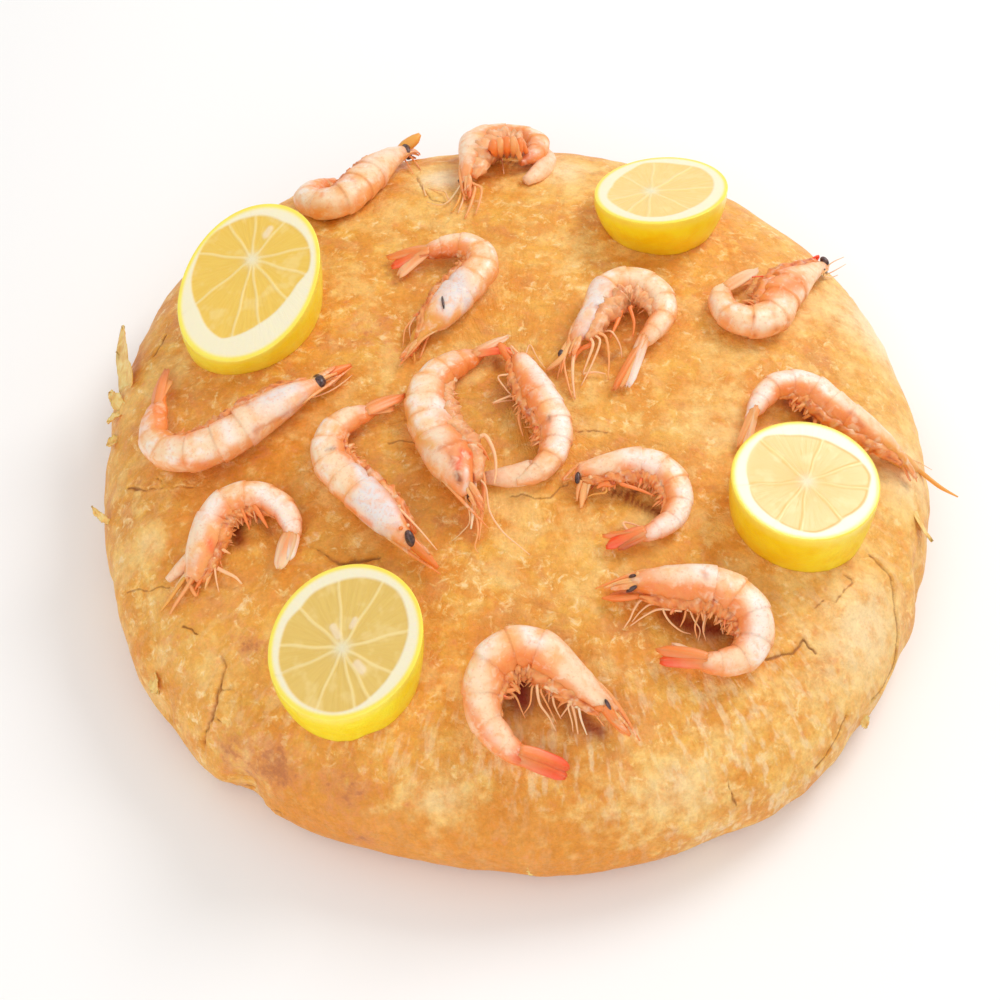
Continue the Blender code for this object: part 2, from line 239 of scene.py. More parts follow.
def loftPart(rings, tints, slot=0):
    # A closed skin over rings of points; each end is closed by a fan about its middle
    verts, faces, colours = [], [], []
    count = len(rings[0])
    for ring, tint in zip(rings, tints):
        verts += list(ring)
        colours += list(tint)
    for k in range(len(rings) - 1):
        for i in range(count):
            j = (i + 1) % count
            faces.append((k * count + i, k * count + j, (k + 1) * count + j, (k + 1) * count + i))
    for k, flip in ((0, False), (len(rings) - 1, True)):
        verts.append(sum((Vector(p) for p in rings[k]), Vector()) / count)
        colours.append(np.mean(np.array(tints[k]), axis=0))
        for i in range(count):
            j = (i + 1) % count
            a, b = k * count + i, k * count + j
            faces.append((len(verts) - 1, b, a) if not flip else (len(verts) - 1, a, b))
    return {"verts": verts, "faces": faces, "tints": colours, "slot": slot}


def curveThrough(points, count):
    # Points evenly spread on a smooth curve through the given ones
    points = [Vector(p) for p in points]
    padded = [points[0] * 2 - points[1], *points, points[-1] * 2 - points[-2]]
    spans = len(points) - 1
    out = []
    for k in range(count):
        at = k / (count - 1) * spans
        i = min(int(at), spans - 1)
        t = at - i
        a, b, c, d = padded[i : i + 4]
        spot = (2 * b) + (c - a) * t
        spot = spot + (2 * a - 5 * b + 4 * c - d) * t * t + (3 * b - a - 3 * c + d) * t * t * t
        out.append(0.5 * spot)
    return out


def tubePart(points, widths, tint, tipTint, sides, flat, slot=0, count=None):
    # A flattened tube along a curve; widths are radii at even shares of its length
    count = count or max(6, 4 * len(points))
    path = curveThrough(points, count)
    rings, tints = [], []
    across = None
    for k, spot in enumerate(path):
        way = (path[min(k + 1, count - 1)] - path[max(k - 1, 0)]).normalized()
        if across is None:
            across = way.cross(Vector((0, 0, 1)))
            if across.length < 0.1:
                across = way.cross(Vector((1, 0, 0)))
        across = (across - way * across.dot(way)).normalized()
        other = way.cross(across)
        share = k / (count - 1)
        radius = float(np.interp(share, np.linspace(0, 1, len(widths)), widths))
        ring = []
        for i in range(sides):
            turn = 2 * math.pi * i / sides
            ring.append(spot + across * (radius * math.cos(turn)) + other * (radius * flat * math.sin(turn)))
        rings.append(ring)
        tints.append([mixColour(tint, tipTint, share)] * sides)
    return loftPart(rings, tints, slot)


pieForm = {
    "radius": 160 * mm,
    "height": 64 * mm,
    "belly": 14 * mm,  # where the side reaches furthest out
    "tuck": 11 * mm,
    "crownPower": 3.0,
    "crownRoot": 2.5,
    "waves": ((2, 2.6 * mm, 105), (3, 0.4 * mm, 37), (4, 2.0 * mm, 43), (5, 0.7 * mm, 7)),
    "lumps": ((55 * mm, 1.7 * mm), (20 * mm, 0.8 * mm), (9 * mm, 0.35 * mm)),
    "calm": 7 * mm,  # the lumps die out in this height above the foot
    "seed": 7,
    # Raised and sunk wrinkles, as (x, y) of both ends, half width, height, in mm
    "wrinkles": (
        ((-46, -124), (-52, -139), 3.0, 1.5), ((-27, -126), (-36, -143), 3.2, 1.6),
        ((140, -48), (146, -86), 4.0, 1.8), ((118, -76), (132, -62), 4.0, 1.3),
        ((146, -52), (149, -88), 3.2, -1.6), ((-131, -66), (-122, -104), 3.5, -1.3),
        ((-139, -45), (-112, -48), 4.0, 1.2), ((-100, -128), (-88, -122), 6.0, 1.8),
    ),
    # Folds down the side, as angle, half width in degrees, depth and top
    "folds": (
        (-125, 2.6, 4.0 * mm, 30 * mm), (-131, 4.5, -2.0 * mm, 26 * mm), (-42, 3.0, 2.0 * mm, 30 * mm),
        (-64, 3.5, 1.2 * mm, 26 * mm), (-92, 3.0, 1.2 * mm, 24 * mm), (200, 3.0, 1.8 * mm, 30 * mm),
        (172, 4.0, -1.6 * mm, 46 * mm), (15, 4.0, 1.3 * mm, 30 * mm), (70, 4.0, 1.3 * mm, 34 * mm),
        (125, 4.0, 1.3 * mm, 34 * mm),
    ),
}


def edgeRadius(angle):
    waves = (h * math.cos(n * (angle - math.radians(crest))) for n, h, crest in pieForm["waves"])
    return pieForm["radius"] + sum(waves)


def domeHeight(x, y):
    share = min(1.0, math.hypot(x, y) / edgeRadius(math.atan2(y, x)))
    rise = (1 - share ** pieForm["crownPower"]) ** (1 / pieForm["crownRoot"])
    return pieForm["belly"] + (pieForm["height"] - pieForm["belly"]) * rise


def domeNormal(x, y):
    step = 1.5 * mm
    slopeX = (domeHeight(x + step, y) - domeHeight(x - step, y)) / (2 * step)
    slopeY = (domeHeight(x, y + step) - domeHeight(x, y - step)) / (2 * step)
    return Vector((-slopeX, -slopeY, 1)).normalized()


def pieProfile(count):
    # Down the side from the crown to the foot, evenly spaced along its length
    s = pieForm
    turn = np.linspace(0, math.pi / 2, 600)
    across = s["radius"] * np.sin(turn) ** (2 / s["crownPower"])
    up = s["belly"] + (s["height"] - s["belly"]) * np.cos(turn) ** (2 / s["crownRoot"])
    turn = np.linspace(0, math.pi / 2, 60)[1:]
    across = np.concatenate([across, s["radius"] - s["tuck"] * (1 - np.cos(turn))])
    up = np.concatenate([up, s["belly"] * (1 - np.sin(turn))])
    length = np.concatenate([[0], np.cumsum(np.hypot(np.diff(across), np.diff(up)))])
    even = np.linspace(0, length[-1], count)
    return np.interp(even, length, across), np.interp(even, length, up)


def crustLift(points):
    # Height of the lumps, wrinkles and folds over the even dome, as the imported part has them
    s = pieForm
    lift = np.zeros(len(points))
    shift = Vector((s["seed"], 0, 0))
    for size, height in s["lumps"]:
        lift += [height * noise.noise(Vector(p) / size + shift) for p in points]
    x, y, z = points.T
    for start, end, halfWidth, height in s["wrinkles"]:
        off = awayFrom(points[:, :2], np.array(start) * mm, np.array(end) * mm) / (halfWidth * mm)
        lift += height * mm * np.exp(-off * off) * (z > s["belly"])
    angle = np.degrees(np.arctan2(y, x))
    for centre, halfWidth, depth, top in s["folds"]:
        off = ((angle - centre + 180) % 360 - 180) / halfWidth
        lift -= depth * np.exp(-off * off) * np.clip((top - z) / (10 * mm), 0, 1)
    return lift * np.clip(z / s["calm"], 0, 1)


cadCrust = treeOf(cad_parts["pastilla"])


def onPie(px, py, lift=0.0, near=None):
    # The spot of the crust that shows at a point of the picture, or one lifted off it
    ray = pixelRay(px, py)
    hit = cadCrust.ray_cast(cameraSpot, ray)[0]
    if hit is None and near is not None:
        # Beside the pie, on something that lies over its rim
        return cameraSpot + ray * (near - cameraSpot).dot(ray)
    if hit is None:
        # Beside the pie: the nearest point of the ray to its middle at the height of the rim
        rise = (30 * mm - cameraSpot.z) / ray.z
        hit = cameraSpot + ray * rise
    return hit - ray * (lift / math.sin(math.radians(cameraSettings["down"])))


crustSettings = {
    "grid": 244,
    "profile": 1200,  # points down the side
    "refine": 2.6 * mm,  # faces closer than this to a crack or an edge are made smaller
    # Cracks: points in the picture, half width and depth in mm
    "cracks": (
        (((221, 656), (225, 667), (221, 680), (216, 700), (212, 716), (207, 730), (203, 743)), 1.0, 1.6),
        (((222, 691), (232, 690), (240, 692), (241, 708)), 0.7, 1.0),
        (((183, 626), (190, 629), (198, 634)), 0.6, 0.7),
        (((304, 545), (315, 548), (327, 556), (339, 563), (352, 562), (366, 559), (378, 557)), 0.9, 1.3),
        (((392, 563), (408, 560), (426, 557)), 0.6, 0.6),
        (((766, 660), (780, 655), (793, 653), (800, 645), (804, 640), (810, 648), (816, 653)), 0.6, 0.8),
        (((728, 781), (731, 792), (736, 805)), 0.6, 0.7), (((208, 709), (214, 716), (221, 723)), 0.5, 0.5),
        (((165, 335), (160, 345), (153, 356)), 0.7, 0.8), (((128, 488), (146, 490), (166, 487)), 0.6, 0.6),
        (((158, 478), (168, 489), (180, 500)), 0.5, 0.5), (((170, 490), (183, 486), (192, 488)), 0.5, 0.4),
        (((238, 774), (241, 787), (248, 801), (262, 806), (280, 813)), 0.9, 1.2),
        (((262, 626), (256, 636), (251, 650)), 0.5, 0.5),
    ),
    # Edges of torn sheets: the sheet lies to the left of the way that the points run
    "edges": (
        (((844, 575), (852, 579), (854, 583), (846, 590), (836, 603), (825, 600), (815, 609)), 0.6),
        (
            (
                (870, 556), (881, 567), (889, 579), (893, 594), (894, 612), (897, 630), (896, 645),
                (892, 668), (884, 684), (872, 699),
            ),
            0.8,
        ),
        (((846, 716), (840, 730), (833, 743), (825, 756), (815, 768)), 0.7),
        (((511, 496), (524, 493), (536, 498), (550, 497), (557, 489), (566, 483)), 0.5),
        (((579, 431), (592, 430), (606, 432)), 0.4), (((389, 442), (401, 440), (415, 442)), 0.4),
        (((418, 178), (424, 190), (432, 199), (446, 203)), 0.5),
        (((128, 592), (139, 588), (150, 591), (159, 586), (169, 587)), 0.5),
        (((241, 777), (243, 790), (250, 802), (251, 812)), 0.8),
    ),
    "stepFade": 9 * mm,
    # How far round a crack or an edge is looked at, and how far it has an effect
    "margin": 20 * mm,
    "reach": 30 * mm,
    # Fine relief of the baked sheets: size of the lumps and height
    "relief": ((7 * mm, 0.28 * mm), (3.2 * mm, 0.10 * mm)),
    # Fine creases where the sheets were drawn together: spacing, height, seed
    "creases": ((34 * mm, 0.30 * mm, 3), (19 * mm, 0.22 * mm, 11)),
    # The drawn strokes are strongest on the front right: angle, half width, share elsewhere
    "strokes": (-72, 46, 0.12),
}


def featurePoints(spots, spacing=1.2 * mm):
    # The line of a crack or an edge on the crust, in short even steps
    path = [onPie(*spot) for spot in spots]
    points = [path[0]]
    for a, b in zip(path, path[1:]):
        steps = max(1, round((b - a).length / spacing))
        points += [a.lerp(b, (k + 1) / steps) for k in range(steps)]
    return np.array([tuple(p) for p in points])


def distanceTo(points, path, normals):
    # Distance of each point from a line of points, and on which side of it the point lies
    best = np.full(len(points), farAway)
    sign = np.ones(len(points))
    low, high = path.min(0) - crustSettings["margin"], path.max(0) + crustSettings["margin"]
    near = np.all((points > low) & (points < high), axis=1)
    p, n = points[near], normals[near]
    dist, side = np.full(len(p), farAway), np.ones(len(p))
    for a, b in zip(path, path[1:]):
        way = b - a
        along = np.clip(((p - a) @ way) / (way @ way), 0, 1)
        off = p - a - along[:, None] * way
        d = np.linalg.norm(off, axis=1)
        s = np.sign(np.einsum("ij,ij->i", np.cross(way[None, :], off), n))
        closer = d < dist
        dist[closer], side[closer] = d[closer], s[closer]
    best[near], sign[near] = dist, side
    return best, sign


def crustGrid(s):
    # A square grid wrapped over the pie, so that its cells are nearly even
    count = s["grid"]
    side = np.linspace(-1, 1, count + 1)
    a, b = np.meshgrid(side, side, indexing="ij")
    reach = np.maximum(np.abs(a), np.abs(b))
    wide = np.abs(a) >= np.abs(b)
    with np.errstate(divide="ignore", invalid="ignore"):
        turn = np.where(wide, np.pi / 4 * (b / a), np.pi / 2 - np.pi / 4 * (a / b))
    turn = np.nan_to_num(turn)
    turn = np.where(wide & (a < 0), turn + np.pi, turn)
    turn = np.where(~wide & (b < 0), turn + np.pi, turn)
    across, up = pieProfile(s["profile"])
    share = np.linspace(0, 1, s["profile"])
    r = np.interp(reach, share, across)
    z = np.interp(reach, share, up)
    spread = np.vectorize(edgeRadius)(turn) / pieForm["radius"]
    return np.stack([r * spread * np.cos(turn), r * spread * np.sin(turn), z], -1).reshape(-1, 3), count


def vertexArray(mesh, what="co"):
    out = np.zeros(len(mesh.vertices) * 3)
    mesh.vertices.foreach_get(what, out)
    return out.reshape(-1, 3)


def makeCrustMesh(s):
    points, count = crustGrid(s)
    n = count + 1
    corners = [i * n + j for i in range(count) for j in range(count)]
    faces = [(k, k + n, k + n + 1, k + 1) for k in corners]
    mesh = bpy.data.meshes.new("crust")
    mesh.from_pydata([tuple(p) for p in points], [], faces)
    mesh.update()
    # Smaller faces along the cracks and the torn edges
    paths = [featurePoints(spots) for spots, *_ in s["cracks"] + s["edges"]]
    normals = vertexArray(mesh, "normal")
    closeTo = np.full(len(mesh.vertices), farAway)
    for path in paths:
        closeTo = np.minimum(closeTo, distanceTo(points, path, normals)[0])
    form = bmesh.new()
    form.from_mesh(mesh)
    form.verts.ensure_lookup_table()
    edges = [e for e in form.edges if max(closeTo[v.index] for v in e.verts) < s["refine"]]
    bmesh.ops.subdivide_edges(form, edges=edges, cuts=3, use_grid_fill=True)
    # The flat underside
    rim = [e for e in form.edges if e.is_boundary]
    made = bmesh.ops.extrude_edge_only(form, edges=rim)["geom"]
    for vert in (g for g in made if isinstance(g, bmesh.types.BMVert)):
        vert.co = Vector((vert.co.x * 0.6, vert.co.y * 0.6, 0))
    rim = [e for e in form.edges if e.is_boundary]
    bmesh.ops.edgeloop_fill(form, edges=rim)
    bmesh.ops.recalc_face_normals(form, faces=form.faces)
    form.to_mesh(mesh)
    form.free()
    mesh.update()
    return mesh, paths


def creaseRelief(points, s):
    # Height of the fine lumps and creases, and how much of a crease there is at each point
    shift = Vector((31, 5, 9))
    fine, crease = np.zeros(len(points)), np.zeros(len(points))
    for size, height in s["relief"]:
        fine += [height * (noise.noise(Vector(p) / size + shift) - 0.25) for p in points]
    for size, height, seed in s["creases"]:
        place = Vector((seed, seed * 2, 0))
        line = np.array([noise.noise(Vector(p) / size + place) for p in points])
        where = np.array([noise.noise(Vector(p) / (size * 1.4) - place) for p in points])
        ridge = np.exp(-((line / 0.035) ** 2)) * smoothStep(0.0, 0.25, where)
        fine += height * ridge
        crease = np.maximum(crease, ridge)
    return fine, crease


def tornRelief(points, normals, paths, s):
    # Height of the cracks and the torn edges, and how dark they are at each point: browner pastry and painted
    # shade in the cracks, painted shadow just under the torn edges
    step, crackAndShadow = np.zeros(len(points)), np.zeros(len(points))
    wobble = np.array([noise.noise(Vector(p) / (2.2 * mm)) for p in points])
    for path, (spots, halfWidth, depth) in zip(paths, s["cracks"]):
        d, side = distanceTo(points, path, normals)
        off = (d * side + wobble * 0.5 * mm) / (halfWidth * mm)
        cut = np.exp(-off * off) * (d < s["reach"])
        lip = np.exp(-((np.abs(off) - 2.0) ** 2)) * (d < s["reach"])
        step += lip * 0.28 * mm - cut * depth * mm
        crackAndShadow = np.maximum(crackAndShadow, cut)
    for path, (spots, height) in zip(paths[len(s["cracks"]) :], s["edges"]):
        d, side = distanceTo(points, path, normals)
        signed = d * side + wobble * 0.6 * mm
        over = smoothStep(-0.25 * mm, 0.35 * mm, signed) * np.exp(-np.maximum(signed, 0) / s["stepFade"])
        step += over * (d < s["reach"]) * height * mm
        # Painted shadow just off the torn edge, under the lifted sheet
        shade = np.exp(-(((signed + 0.45 * mm) / (0.45 * mm)) ** 2))
        crackAndShadow = np.maximum(crackAndShadow, 0.75 * shade * (d < s["reach"]))
    return step, crackAndShadow


def makeCrust(s):
    mesh, paths = makeCrustMesh(s)
    points, normals = vertexArray(mesh), vertexArray(mesh, "normal")
    calm = smoothStep(0.2 * mm, 5 * mm, points[:, 2])
    fine, crease = creaseRelief(points, s)
    step, crackAndShadow = tornRelief(points, normals, paths, s)
    moved = points + normals * ((crustLift(points) + (fine + step) * calm)[:, None])
    moved[:, 2] = np.where(points[:, 2] < 0.05 * mm, 0, np.maximum(moved[:, 2], 0))
    mesh.vertices.foreach_set("co", moved.ravel())
    mesh.update()
    mesh.polygons.foreach_set("use_smooth", [True] * len(mesh.polygons))
    away = np.linalg.norm(points[:, :2], axis=1)
    centre, halfWidth, least = s["strokes"]
    angle = np.degrees(np.arctan2(points[:, 1], points[:, 0]))
    side = least + (1 - least) * np.exp(-(((angle - centre) / halfWidth) ** 2))
    side = side * smoothStep(0.62, 0.9, away / pieForm["radius"])
    for name, values in (("crackAndShadow", crackAndShadow), ("crease", crease), ("side", side), *crustTones(points).items()):
        addLayer(mesh, name, values)
    # Round the pie and down its side, for the strokes that run down the slope
    flow = points / away.clip(1e-4)[:, None] * pieForm["radius"]
    flow[:, 2] = (away - points[:, 2]) * 0.33
    addLayer(mesh, "flow", flow, "FLOAT_VECTOR")
    return addObject("bakedCrust", mesh)


# Where the crust is paler, browner or more amber: point in the picture, half sizes in mm, strength; the pale
# patches on the right side are partly painted light on the lit slope and partly paler pastry
crustPatches = {
    "pale": (
        (440, 180, 14, 1.0), (585, 250, 18, 0.5), (880, 340, 34, 0.95), (905, 470, 30, 0.75),
        (770, 300, 26, 0.5), (730, 440, 24, 0.4), (870, 620, 32, 0.7), (800, 720, 38, 0.38),
        (690, 790, 20, 0.35), (560, 170, 24, 0.8), (660, 150, 20, 0.5), (150, 545, 11, 0.7),
        (140, 500, 10, 0.3), (415, 800, 12, 0.4), (455, 798, 10, 0.35), (480, 785, 34, 0.2),
        (700, 400, 30, 0.3), (330, 700, 10, 0.3), (640, 800, 26, 0.35),
    ),
    "bruise": (
        (375, 330, 10, 0.7), (520, 150, 8, 0.4), (500, 395, 10, 0.5), (235, 750, 12, 0.85),
        (277, 768, 8, 1.1), (257, 648, 5, 1.0), (352, 790, 7, 0.7), (365, 840, 6, 0.8), (240, 640, 5, 0.6),
        (340, 800, 12, 0.5), (180, 640, 16, 0.25), (140, 560, 18, 0.12), (260, 460, 12, 0.3),
        (440, 650, 14, 0.3), (150, 420, 20, 0.2), (620, 155, 7, 0.8), (730, 190, 8, 0.6),
    ),
    "amber": (
        (300, 440, 30, 0.7), (540, 430, 22, 0.5), (500, 620, 36, 0.3), (200, 520, 24, 0.6),
        (300, 820, 24, 0.7), (420, 858, 30, 1.2), (500, 866, 26, 0.9), (600, 866, 30, 1.1),
        (330, 815, 24, 0.5), (600, 330, 22, 0.4), (350, 270, 20, 0.4),
    ),
}


def crustTones(points):
    tones = {}
    for name, patches in crustPatches.items():
        total = np.zeros(len(points))
        for px, py, size, strength in patches:
            spot = np.array(onPie(px, py))
            off = np.linalg.norm(points - spot, axis=1) / (size * mm)
            total += strength * np.exp(-off * off)
        tones[name] = np.clip(total, 0, 1.2)
    # Dark red juices and painted shade in the hollows under the shrimps
    juiceAndShade = np.zeros(len(points))
    for looks in shrimps:
        for share, reach, spots in looks.get("juiceAndShadeMarks", ()):
            path = np.array([tuple(onPie(*spot)) for spot in spots])
            for a, b in zip(path, path[1:]):
                away = awayFrom(points, a, b) / (reach * pixel)
                juiceAndShade = np.maximum(juiceAndShade, share * np.exp(-away * away))
    tones["juiceAndShade"] = juiceAndShade
    return tones


crustColours = {
    "gold": rgba(236, 166, 70),
    "amber": rgba(226, 141, 42),
    "honey": rgba(244, 183, 78),
    "pale": rgba(250, 205, 124),
    "cream": rgba(252, 224, 178),
    "rose": rgba(220, 138, 84),
    "bruise": rgba(172, 98, 62),
    "crackAndShadow": rgba(146, 80, 30),
    "juiceAndShade": rgba(138, 36, 6),
    "scab": rgba(222, 134, 52),
    "foot": rgba(150, 86, 40),
}


def makeCrustMaterial(c):
    material, tree, shader = newMaterial("bakedFilo", 0.5)
    spot = objectSpot(tree)
    flow = attributeOut(tree, "flow", "Vector")
    broad = noiseOut(tree, spot, 30 * mm, 2.0, 0.5, 0.3)
    drift = noiseOut(tree, movedOut(tree, spot, (0.1, 0.9, 0.4)), 19 * mm, 3.0, 0.55, 0.4)
    middle = noiseOut(tree, spot, 10 * mm, 4.0, 0.6, 0.3)
    patch = noiseOut(tree, movedOut(tree, spot, (0.7, 0.3, 0.1)), 7 * mm, 4.0, 0.62)
    small = noiseOut(tree, spot, 3.0 * mm, 3.0, 0.6)
    fine = noiseOut(tree, spot, 1.1 * mm, 2.0, 0.6)
    stroke = noiseOut(tree, flow, 3.6 * mm, 2.0, 0.5)
    pale, bruise, amber = (attributeOut(tree, name) for name in ("pale", "bruise", "amber"))
    colour = mixOut(tree, rangeOut(tree, broad, 0.36, 0.62, 0.75, 0.0), c["gold"], c["amber"])
    colour = mixOut(tree, rangeOut(tree, middle, 0.46, 0.66, 0, 0.75), colour, c["honey"])
    colour = mixOut(tree, rangeOut(tree, patch, 0.54, 0.72, 0, 0.6), colour, c["pale"])
    colour = mixOut(tree, rangeOut(tree, drift, 0.5, 0.66, 0, 0.6), colour, c["pale"])
    colour = mixOut(tree, rangeOut(tree, drift, 0.46, 0.32, 0, 0.45), colour, c["rose"])
    # Ragged flaky marks of a few mm, some darker and some paler
    scab = noiseOut(tree, spot, 4.6 * mm, 6.0, 0.7, 0.5)
    colour = mixOut(tree, rangeOut(tree, scab, 0.56, 0.66, 0, 0.3), colour, c["scab"])
    colour = mixOut(tree, rangeOut(tree, scab, 0.46, 0.4, 0, 0.5), colour, c["pale"])
    colour = mixOut(tree, rangeOut(tree, scab, 0.4, 0.34, 0, 0.5), colour, c["cream"])
    # Strokes of pale pastry run down the side
    side = attributeOut(tree, "side")
    run = mathOut(tree, "MULTIPLY", rangeOut(tree, stroke, 0.5, 0.64, 0, 0.58), side)
    colour = mixOut(tree, run, colour, c["cream"])
    thin = noiseOut(tree, flow, 1.9 * mm, 2.0, 0.5)
    run = mathOut(tree, "MULTIPLY", rangeOut(tree, thin, 0.5, 0.62, 0, 0.5), side)
    colour = mixOut(tree, run, colour, c["amber"])
    # Pale, amber and bruised places have ragged edges
    ragged = mathOut(tree, "MULTIPLY", mathOut(tree, "SUBTRACT", patch, 0.5), 1.5)
    amberShare = rangeOut(tree, mathOut(tree, "SUBTRACT", amber, ragged), 0.2, 1.0, 0, 0.8)
    colour = mixOut(tree, amberShare, colour, c["amber"])
    # The pale places on the right side are partly painted light, where the lit slope washes out, and partly
    # paler pastry
    paleShare = rangeOut(tree, mathOut(tree, "ADD", pale, ragged), 0.15, 0.95, 0, 0.92)
    palest = mixOut(tree, rangeOut(tree, pale, 0.45, 1.0), c["pale"], c["cream"])
    colour = mixOut(tree, paleShare, colour, palest)
    # Rosy brown blotches, a few everywhere and more in the bruised places
    speck = mathOut(tree, "MULTIPLY", mathOut(tree, "SUBTRACT", small, 0.5), 2.2)
    blotch = mathOut(tree, "ADD", mathOut(tree, "SUBTRACT", bruise, ragged), speck)
    colour = mixOut(tree, rangeOut(tree, blotch, 0.15, 0.8, 0, 0.5), colour, c["rose"])
    colour = mixOut(tree, rangeOut(tree, blotch, 0.65, 1.35, 0, 0.65), colour, c["bruise"])
    shade = rangeOut(tree, small, 0.34, 0.66, 0.95, 1.06)
    shade = mathOut(tree, "ADD", shade, rangeOut(tree, fine, 0.3, 0.7, -0.05, 0.05))
    colour = mixOut(tree, 1.0, colour, addGrey(tree, shade), "MULTIPLY")
    colour = mixOut(tree, rangeOut(tree, attributeOut(tree, "crease"), 0.2, 0.9, 0, 0.08), colour, c["cream"])
    # Dark red juices and painted shade in the hollows under the shrimps
    colour = mixOut(tree, attributeOut(tree, "juiceAndShade"), colour, c["juiceAndShade"])
    # Cracks darker, partly browner pastry and partly painted shade in the gap; painted shadow under the torn
    # edges
    colour = mixOut(tree, rangeOut(tree, attributeOut(tree, "crackAndShadow"), 0.2, 0.9, 0, 0.72), colour, c["crackAndShadow"])
    # Painted shade: darker and browner close to the foot, where the pie meets the floor
    low = addNode(tree, "ShaderNodeSeparateXYZ", {"Vector": spot}).outputs["Z"]
    colour = mixOut(tree, rangeOut(tree, low, 0.5 * mm, 6 * mm, 0.5, 0.0), colour, c["foot"])
    normal = bumpOut(tree, noiseOut(tree, spot, 8 * mm, 4.0, 0.55, 0.8), 0.7 * mm)
    normal = bumpOut(tree, stroke, 0.35 * mm, normal)
    normal = bumpOut(tree, rangeOut(tree, scab, 0.35, 0.65), 0.2 * mm, normal)
    normal = bumpOut(tree, fine, 0.10 * mm, normal)
    surface = {
        "Base Color": colour,
        "Roughness": rangeOut(tree, patch, 0.3, 0.7, 0.38, 0.56),
        "Normal": normal,
        "Subsurface Weight": 0.1,
        "Subsurface Radius": (1.0, 0.5, 0.2),
        "Subsurface Scale": 2 * mm,
        "Specular IOR Level": 0.3,
    }
    setInputs(tree, shader, surface)
    return material


# Loose flakes of filo round the rim: root in the picture, tip in the picture, how far the tip
# stands off the crust in mm, width in mm, curl
flakeSettings = {
    "thickness": 0.3 * mm,
    "tones": ((0.3, rgba(230, 170, 84)), (0.5, rgba(246, 200, 112)), (0.7, rgba(253, 226, 156))),
    "flakes": (
        ((130, 390), (124, 326), 7, 17, 0.16), ((126, 396), (116, 352), 5, 7, -0.2),
        ((124, 408), (110, 392), 3, 8, 0.2), ((122, 414), (108, 424), 4, 9, 0.3),
        ((118, 440), (108, 446), 3, 7, 0.4), ((110, 522), (92, 506), 5, 5, 0.3),
        ((912, 486), (933, 541), 5, 9, -0.3), ((862, 716), (866, 728), 2, 6, 0.2),
        ((155, 676), (160, 694), 3, 10, 0.3), ((533, 866), (537, 875), 1, 6, 0.1),
    ),
}


def flakePart(root, tip, lift, width, curl, seed):
    # A thin sheet with ragged edges between two places of the picture
    draw = random.Random(seed)
    start = onPie(*root, -1.0 * mm)
    end = onPie(*tip, lift * mm)
    along = end - start
    out = Vector((start.x, start.y, 0)).normalized() + Vector((0, 0, 0.5))
    across = along.cross(out).normalized()
    flat = across.cross(along).normalized()
    rows, columns = 18, 9
    top, bottom = [], []
    thick = flakeSettings["thickness"]
    for i in range(rows + 1):
        u = i / rows
        spread = width * mm * 0.5 * (0.55 + 0.45 * math.sin(u * math.pi * 0.9)) * (1 - u) ** 0.45
        spread *= 1 + 0.3 * noise.noise(Vector((u * 4, seed, 0)))
        for j in range(columns + 1):
            v = j / columns * 2 - 1
            ragged = 0.12 * noise.noise(Vector((u * 9, v * 3, seed)))
            aside = spread * (v + ragged) + 0.4 * mm * draw.uniform(-1, 1)
            spot = start + along * (u * (1 + 0.1 * ragged)) + across * aside
            bow = curl * along.length * 0.25 * math.sin(u * math.pi) + curl * width * mm * 0.3 * v * v
            spot = spot + flat * (bow + 0.6 * mm * noise.noise(Vector((u * 5, v * 2, seed + 7))))
            top.append(spot + flat * (thick / 2))
            bottom.append(spot - flat * (thick / 2))
    tints = [(1, 1, 1)] * (2 * len(top))
    return {"verts": top + bottom, "faces": sheetFaces(rows, columns), "tints": tints, "slot": 0}


def makeFlakes(s):
    material, tree, shader = newMaterial("looseFilo", 0.5)
    spot = objectSpot(tree)
    mottled = noiseOut(tree, spot, 5 * mm, 4.0, 0.6, 0.6)
    surface = {
        "Base Color": rampOut(tree, mottled, s["tones"]),
        "Normal": bumpOut(tree, noiseOut(tree, spot, 2 * mm, 3.0), 0.2 * mm),
        "Subsurface Weight": 0.2,
        "Subsurface Scale": 2 * mm,
    }
    setInputs(tree, shader, surface)
    parts = [flakePart(*flake, i) for i, flake in enumerate(s["flakes"])]
    return meshFrom("looseFlakes", parts, [material])


shrimpSettings = {
    "head": 27,  # mm from the eye to the back edge of the head shell
    "rings": (8.5, 8.5, 9.0, 8.5, 8.0, 10.0, 13.0),  # six rings of the abdomen, then the fan
    # Half depth and half width, in mm from the eye backwards
    "section": (
        (-9, 1.8, 1.5), (-3, 3.9, 3.2), (2, 5.5, 4.7), (10, 7.3, 6.0), (20, 8.2, 6.7), (27, 8.4, 6.8),
        (36, 8.5, 6.8), (45, 8.0, 6.5), (53, 7.2, 5.9), (62, 6.3, 5.1), (70, 5.2, 4.3), (79, 3.3, 2.9),
        (83, 2.6, 2.0), (92, 1.6, 0.9),
    ),
    "sides": 36,
    "blade": 27,  # most of a blade of the fan, in mm
    # Shares of a limb's radius from its root to its tip
    "limb": {"thin": (1, 1, 0.75, 0.4), "skin": (0.6, 1, 1, 0.9, 0.5), "thick": (0.6, 1, 1, 0.85, 0.3)},
    "taper": ((-9, 0.8), (-3, 0.74), (2, 0.78), (10, 0.9), (22, 1.0)),  # of the head's girth
}
